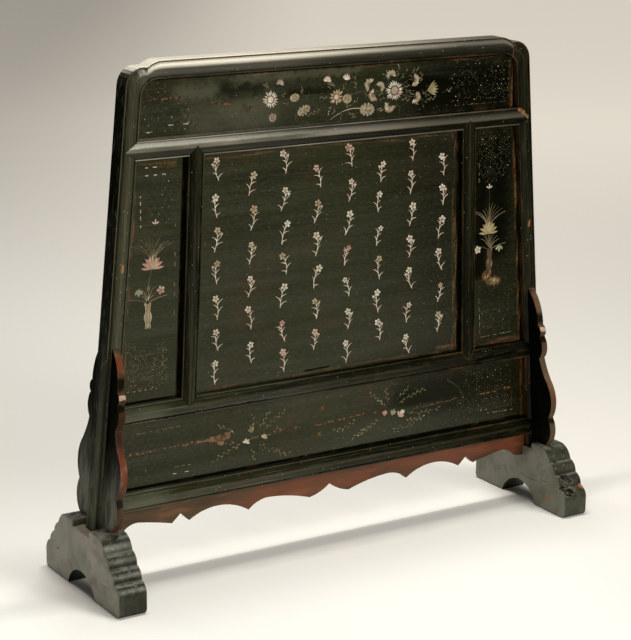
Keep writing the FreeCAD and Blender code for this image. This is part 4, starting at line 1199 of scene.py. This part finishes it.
def bottom_inlay():
    """Two sprays of twigs with a few flowers, between two diapers."""
    inlay = Inlay("bottom", 71)
    left_twigs = (
        ((-128, 152), 150, 23), ((-110, 148), 80, 22), ((-100, 150), 55, 24), ((-92, 147), 38, 35),
        ((-88, 143), 20, 18), ((-118, 140), 201, 41), ((-126, 142), 165, 16), ((-110, 134), 290, 15),
        ((-98, 138), 333, 30), ((-78, 128), 333, 22),
    )
    right_twigs = (
        ((78, 151), 140, 30), ((80, 156), 101, 17), ((95, 154), 19, 37), ((92, 158), 40, 20),
        ((107, 141), -2, 46), ((104, 134), -5, 26), ((69, 139), 204, 40), ((38, 144), 196, 32),
        ((84, 131), -52, 15), ((90, 124), 2, 26), ((55, 133), 216, 17),
    )
    for root, angle, length in left_twigs + right_twigs:
        leaves = max(4, round(length / 3.4))
        bow = inlay.vary(-6, 6)
        inlay.twig(root, radians(angle), length, bow, "hairline", "gilt", leaves, 4.6)
    inlay.fan((-114, 139), 70, 150, 4, 6, 2.6, "pearl")
    inlay.fan((-91, 141), 60, 120, 4, 6, 2.4, "cream")
    inlay.fan((-106, 150), 110, 60, 3, 9, 2.4, "gilt")
    inlay.blossom((-12, 165), 3.6, 4, "umber", radians(45))
    inlay.blossom((-16, 134), 3.6, 4, "umber", radians(45))
    inlay.fan((75, 141), 80, 50, 3, 8, 2.6, "blush")
    inlay.fan((96, 137), 50, 90, 4, 9, 3.0, "blush")
    inlay.fan((101, 139), 95, 60, 3, 7, 2.6, "pearl", 3)
    inlay.fan((86, 140), 70, 60, 3, 9, 2.8, "jade")
    inlay.diaper((186, 126), (258, 178), lambda x, z: x > 176 + 0.5 * abs(z - 146), "hairline",
                 dots=0.6, lines=0.5)
    inlay.diaper((-262, 122), (-200, 176), lambda x, z: x < -205 - 0.5 * abs(z - 150), "groove",
                 dots=0.25, width=0.5)
    inlay.stem("hairline", (166, 172), (196, 155), (190, 139), 0.6)
    inlay.stem("hairline", (190, 139), (188, 128), (174, 123), 0.6)
    inlay.border([
        ("gilt", (-255, 172), (-204, 173), 7, 1.5, 0.4, 0.8),
        ("gilt", (-240, 127), (-188, 126), 7, 1.5, 0.4, 0.7),
        ("pearl", (-208, 118.5), (-190, 118.5), 7, 8, 0.7, 0.8),
        ("hairline", (-125, 178), (-80, 178), 6, 2, 0.6, 0.7),
        ("hairline", (-92, 118), (-4, 118), 6, 3, 0.6, 0.7),
        ("hairline", (60, 178), (115, 178), 7, 2, 0.6, 0.7),
        ("hairline", (40, 117), (150, 117), 8, 6, 0.6, 0.5),
        ("gilt", (227, 121), (264, 120), 8, 0.8, 0.5, 0.9),
        ("hairline", (265, 124), (260, 176), 6, 1.5, 0.6, 0.8),
    ])
    return inlay


# Each finish of the inlay: its base, the tint it drifts to and its glints
SHELLS = {
    "pearl": ((0.66, 0.60, 0.46), (0.62, 0.46, 0.36), (0.80, 0.78, 0.66)),
    "cream": ((0.50, 0.42, 0.25), (0.42, 0.30, 0.17), (0.66, 0.60, 0.42)),
    "rose": ((0.40, 0.33, 0.24), (0.34, 0.23, 0.16), (0.58, 0.52, 0.41)),
    "blush": ((0.48, 0.22, 0.17), (0.56, 0.36, 0.27), (0.66, 0.54, 0.43)),
    "honey": ((0.32, 0.25, 0.09), (0.40, 0.33, 0.17), (0.52, 0.47, 0.30)),
    "tan": ((0.085, 0.050, 0.025), (0.13, 0.080, 0.045), (0.22, 0.15, 0.09)),
    "gilt": ((0.26, 0.20, 0.09), (0.16, 0.13, 0.06), (0.44, 0.38, 0.24)),
    "umber": ((0.15, 0.070, 0.025), (0.08, 0.040, 0.018), (0.22, 0.13, 0.06)),
    "jade": ((0.21, 0.22, 0.12), (0.30, 0.29, 0.19), (0.42, 0.42, 0.30)),
    "hairline": ((0.075, 0.062, 0.026), (0.035, 0.032, 0.014), (0.16, 0.14, 0.07)),
    "groove": ((0.010, 0.010, 0.006), (0.016, 0.013, 0.007), (0.05, 0.045, 0.03)),
}
DULL_SHELLS = ("tan", "umber")
SHELL_SHEEN = 0.5
DULL_SHEEN = 0.1


def shell_finish(name):
    """Shell or gilt pieces whose tint drifts from one place to the next."""
    base, tint, glint = [colour(*shade) for shade in SHELLS[name]]
    coat = Shader(name)
    coat.tone = coat.mottled(base, tint, 75, 3, 0.4, 0.62)
    coat.paint(glint, coat.noise(140, 3).ramp(0.55, 0.7))
    coat.set("Base Color", coat.tone)
    coat.set("Specular IOR Level", DULL_SHEEN if name in DULL_SHELLS else SHELL_SHEEN)
    coat.set("Roughness", coat.noise(260, 2).ramp(0.3, 0.7, 0.22, 0.4))
    coat.set("Normal", coat.bump(coat.noise(320, 3), 0.2, 0.0003))
    return coat.material


def add_inlay():
    finishes = {name: shell_finish(name) for name in SHELLS}
    for inlay in (top_inlay(), left_inlay(), right_inlay(), centre_inlay(), bottom_inlay()):
        inlay.lay(finishes)


# Stage

FLOOR_HALF = 14.0
PAPER = colour(0.86, 0.84, 0.79)
STUDIO_DARK = colour(0.03, 0.03, 0.028)
GLOW = colour(1.0, 0.92, 0.78)
NEAR_GLOW = colour(0.97, 0.98, 0.93)
WORLD_TINT = colour(0.80, 0.77, 0.71)
WORLD_LIGHT = 0.12
WORLD_SEEN = 0.7
LAMP_WARMTH = (1.0, 0.975, 0.925)


def floor_finish():
    """Pale paper that glows a little to the camera and ends beside the screen in reflections; the glow is
    held back under the screen as a painted shadow.
    """
    coat = Shader("pale_sweep")
    rays = coat.node("LightPath").outputs
    left_end = coat.x.ramp(-0.45, -0.9)
    right_end = coat.along((0.85, 0.527, 0)).ramp(0, 0.35) * coat.y.ramp(-0.1, -0.3)
    front = coat.y.ramp(-0.1, -0.4, 0, 0.4)
    ends = Mask(coat, rays["Is Glossy Ray"]) * (left_end | right_end | front)
    coat.set("Base Color", coat.mix(ends, PAPER, STUDIO_DARK))
    coat.set("Roughness", 0.9)
    coat.set("Specular IOR Level", 0)
    away = coat.along(VIEW_AWAY)
    across = coat.along(VIEW_RIGHT)
    near = away.ramp(-0.08, 0.30, 0.21, 0.0) * across.ramp(0.2, 0.4, 1.0, 0.6)
    far = away.ramp(0.5, 3.2, 0.03, 0.57)
    aside = across.ramp(-1.0, 0.05, 0.42, 1.0)
    # Painted shadow: the glow is held back in a band under the screen, and a faint painted strip of light
    # lies just behind it.
    outside_painted_shadow = abs(coat.y).ramp(0.02, 0.2) | abs(coat.x).ramp(0.31, 0.45)
    behind = coat.y.ramp(0.001, 0.012) * coat.y.ramp(0.07, 0.015, 0, 0.1)
    behind = behind * abs(coat.x).ramp(0.29, 0.26)
    glow = (near + far) * aside * outside_painted_shadow + behind
    coat.set("Emission Color", coat.mix(away.ramp(0, 0.4), NEAR_GLOW, GLOW))
    coat.set("Emission Strength", Mask(coat, rays["Is Camera Ray"]) * glow)
    return coat.material


def add_floor():
    mesh = bpy.data.meshes.new("floor")
    corners = [(-1, -1), (1, -1), (1, 1), (-1, 1)]
    mesh.from_pydata([(x * FLOOR_HALF, y * FLOOR_HALF, 0.0) for x, y in corners], [], [(0, 1, 2, 3)])
    mesh.materials.append(floor_finish())
    add_object("floor", mesh)


def add_world():
    """A warm surround that is brighter to the camera than as a light."""
    world = bpy.data.worlds.new("studio")
    world.use_nodes = True
    nodes, links = world.node_tree.nodes, world.node_tree.links
    background = nodes["Background"]
    background.inputs["Color"].default_value = WORLD_TINT
    rays = nodes.new("ShaderNodeLightPath")
    strength = nodes.new("ShaderNodeMapRange")
    strength.inputs["To Min"].default_value = WORLD_LIGHT
    strength.inputs["To Max"].default_value = WORLD_SEEN
    links.new(rays.outputs["Is Camera Ray"], strength.inputs["Value"])
    links.new(strength.outputs["Result"], background.inputs["Strength"])
    bpy.context.scene.world = world


def add_softbox(name, place, aim, width, height, power):
    data = bpy.data.lights.new(name, "AREA")
    data.shape = "RECTANGLE"
    data.size = width
    data.size_y = height
    data.energy = power
    data.color = LAMP_WARMTH
    lamp = add_object(name, data)
    lamp.location = place
    lamp.rotation_euler = (Vector(aim) - Vector(place)).to_track_quat("-Z", "Y").to_euler()


dress_nodes()
add_inlay()
add_floor()
add_world()
add_softbox("top_softbox", (0.0, 0.03, 2.2), (0.0, 0.03, 0.0), 1.3, 0.09, 29.0)
add_softbox("side_softbox", (0.70, -1.80, 1.5), (-0.1, 0.0, 1.2), 0.70, 1.7, 33.0)
add_softbox("back_softbox", (-0.1, 1.1, 2.0), (0.0, 0.0, 0.0), 1.0, 0.5, 10.0)
add_camera()
bpy.context.scene.view_settings.view_transform = "Standard"
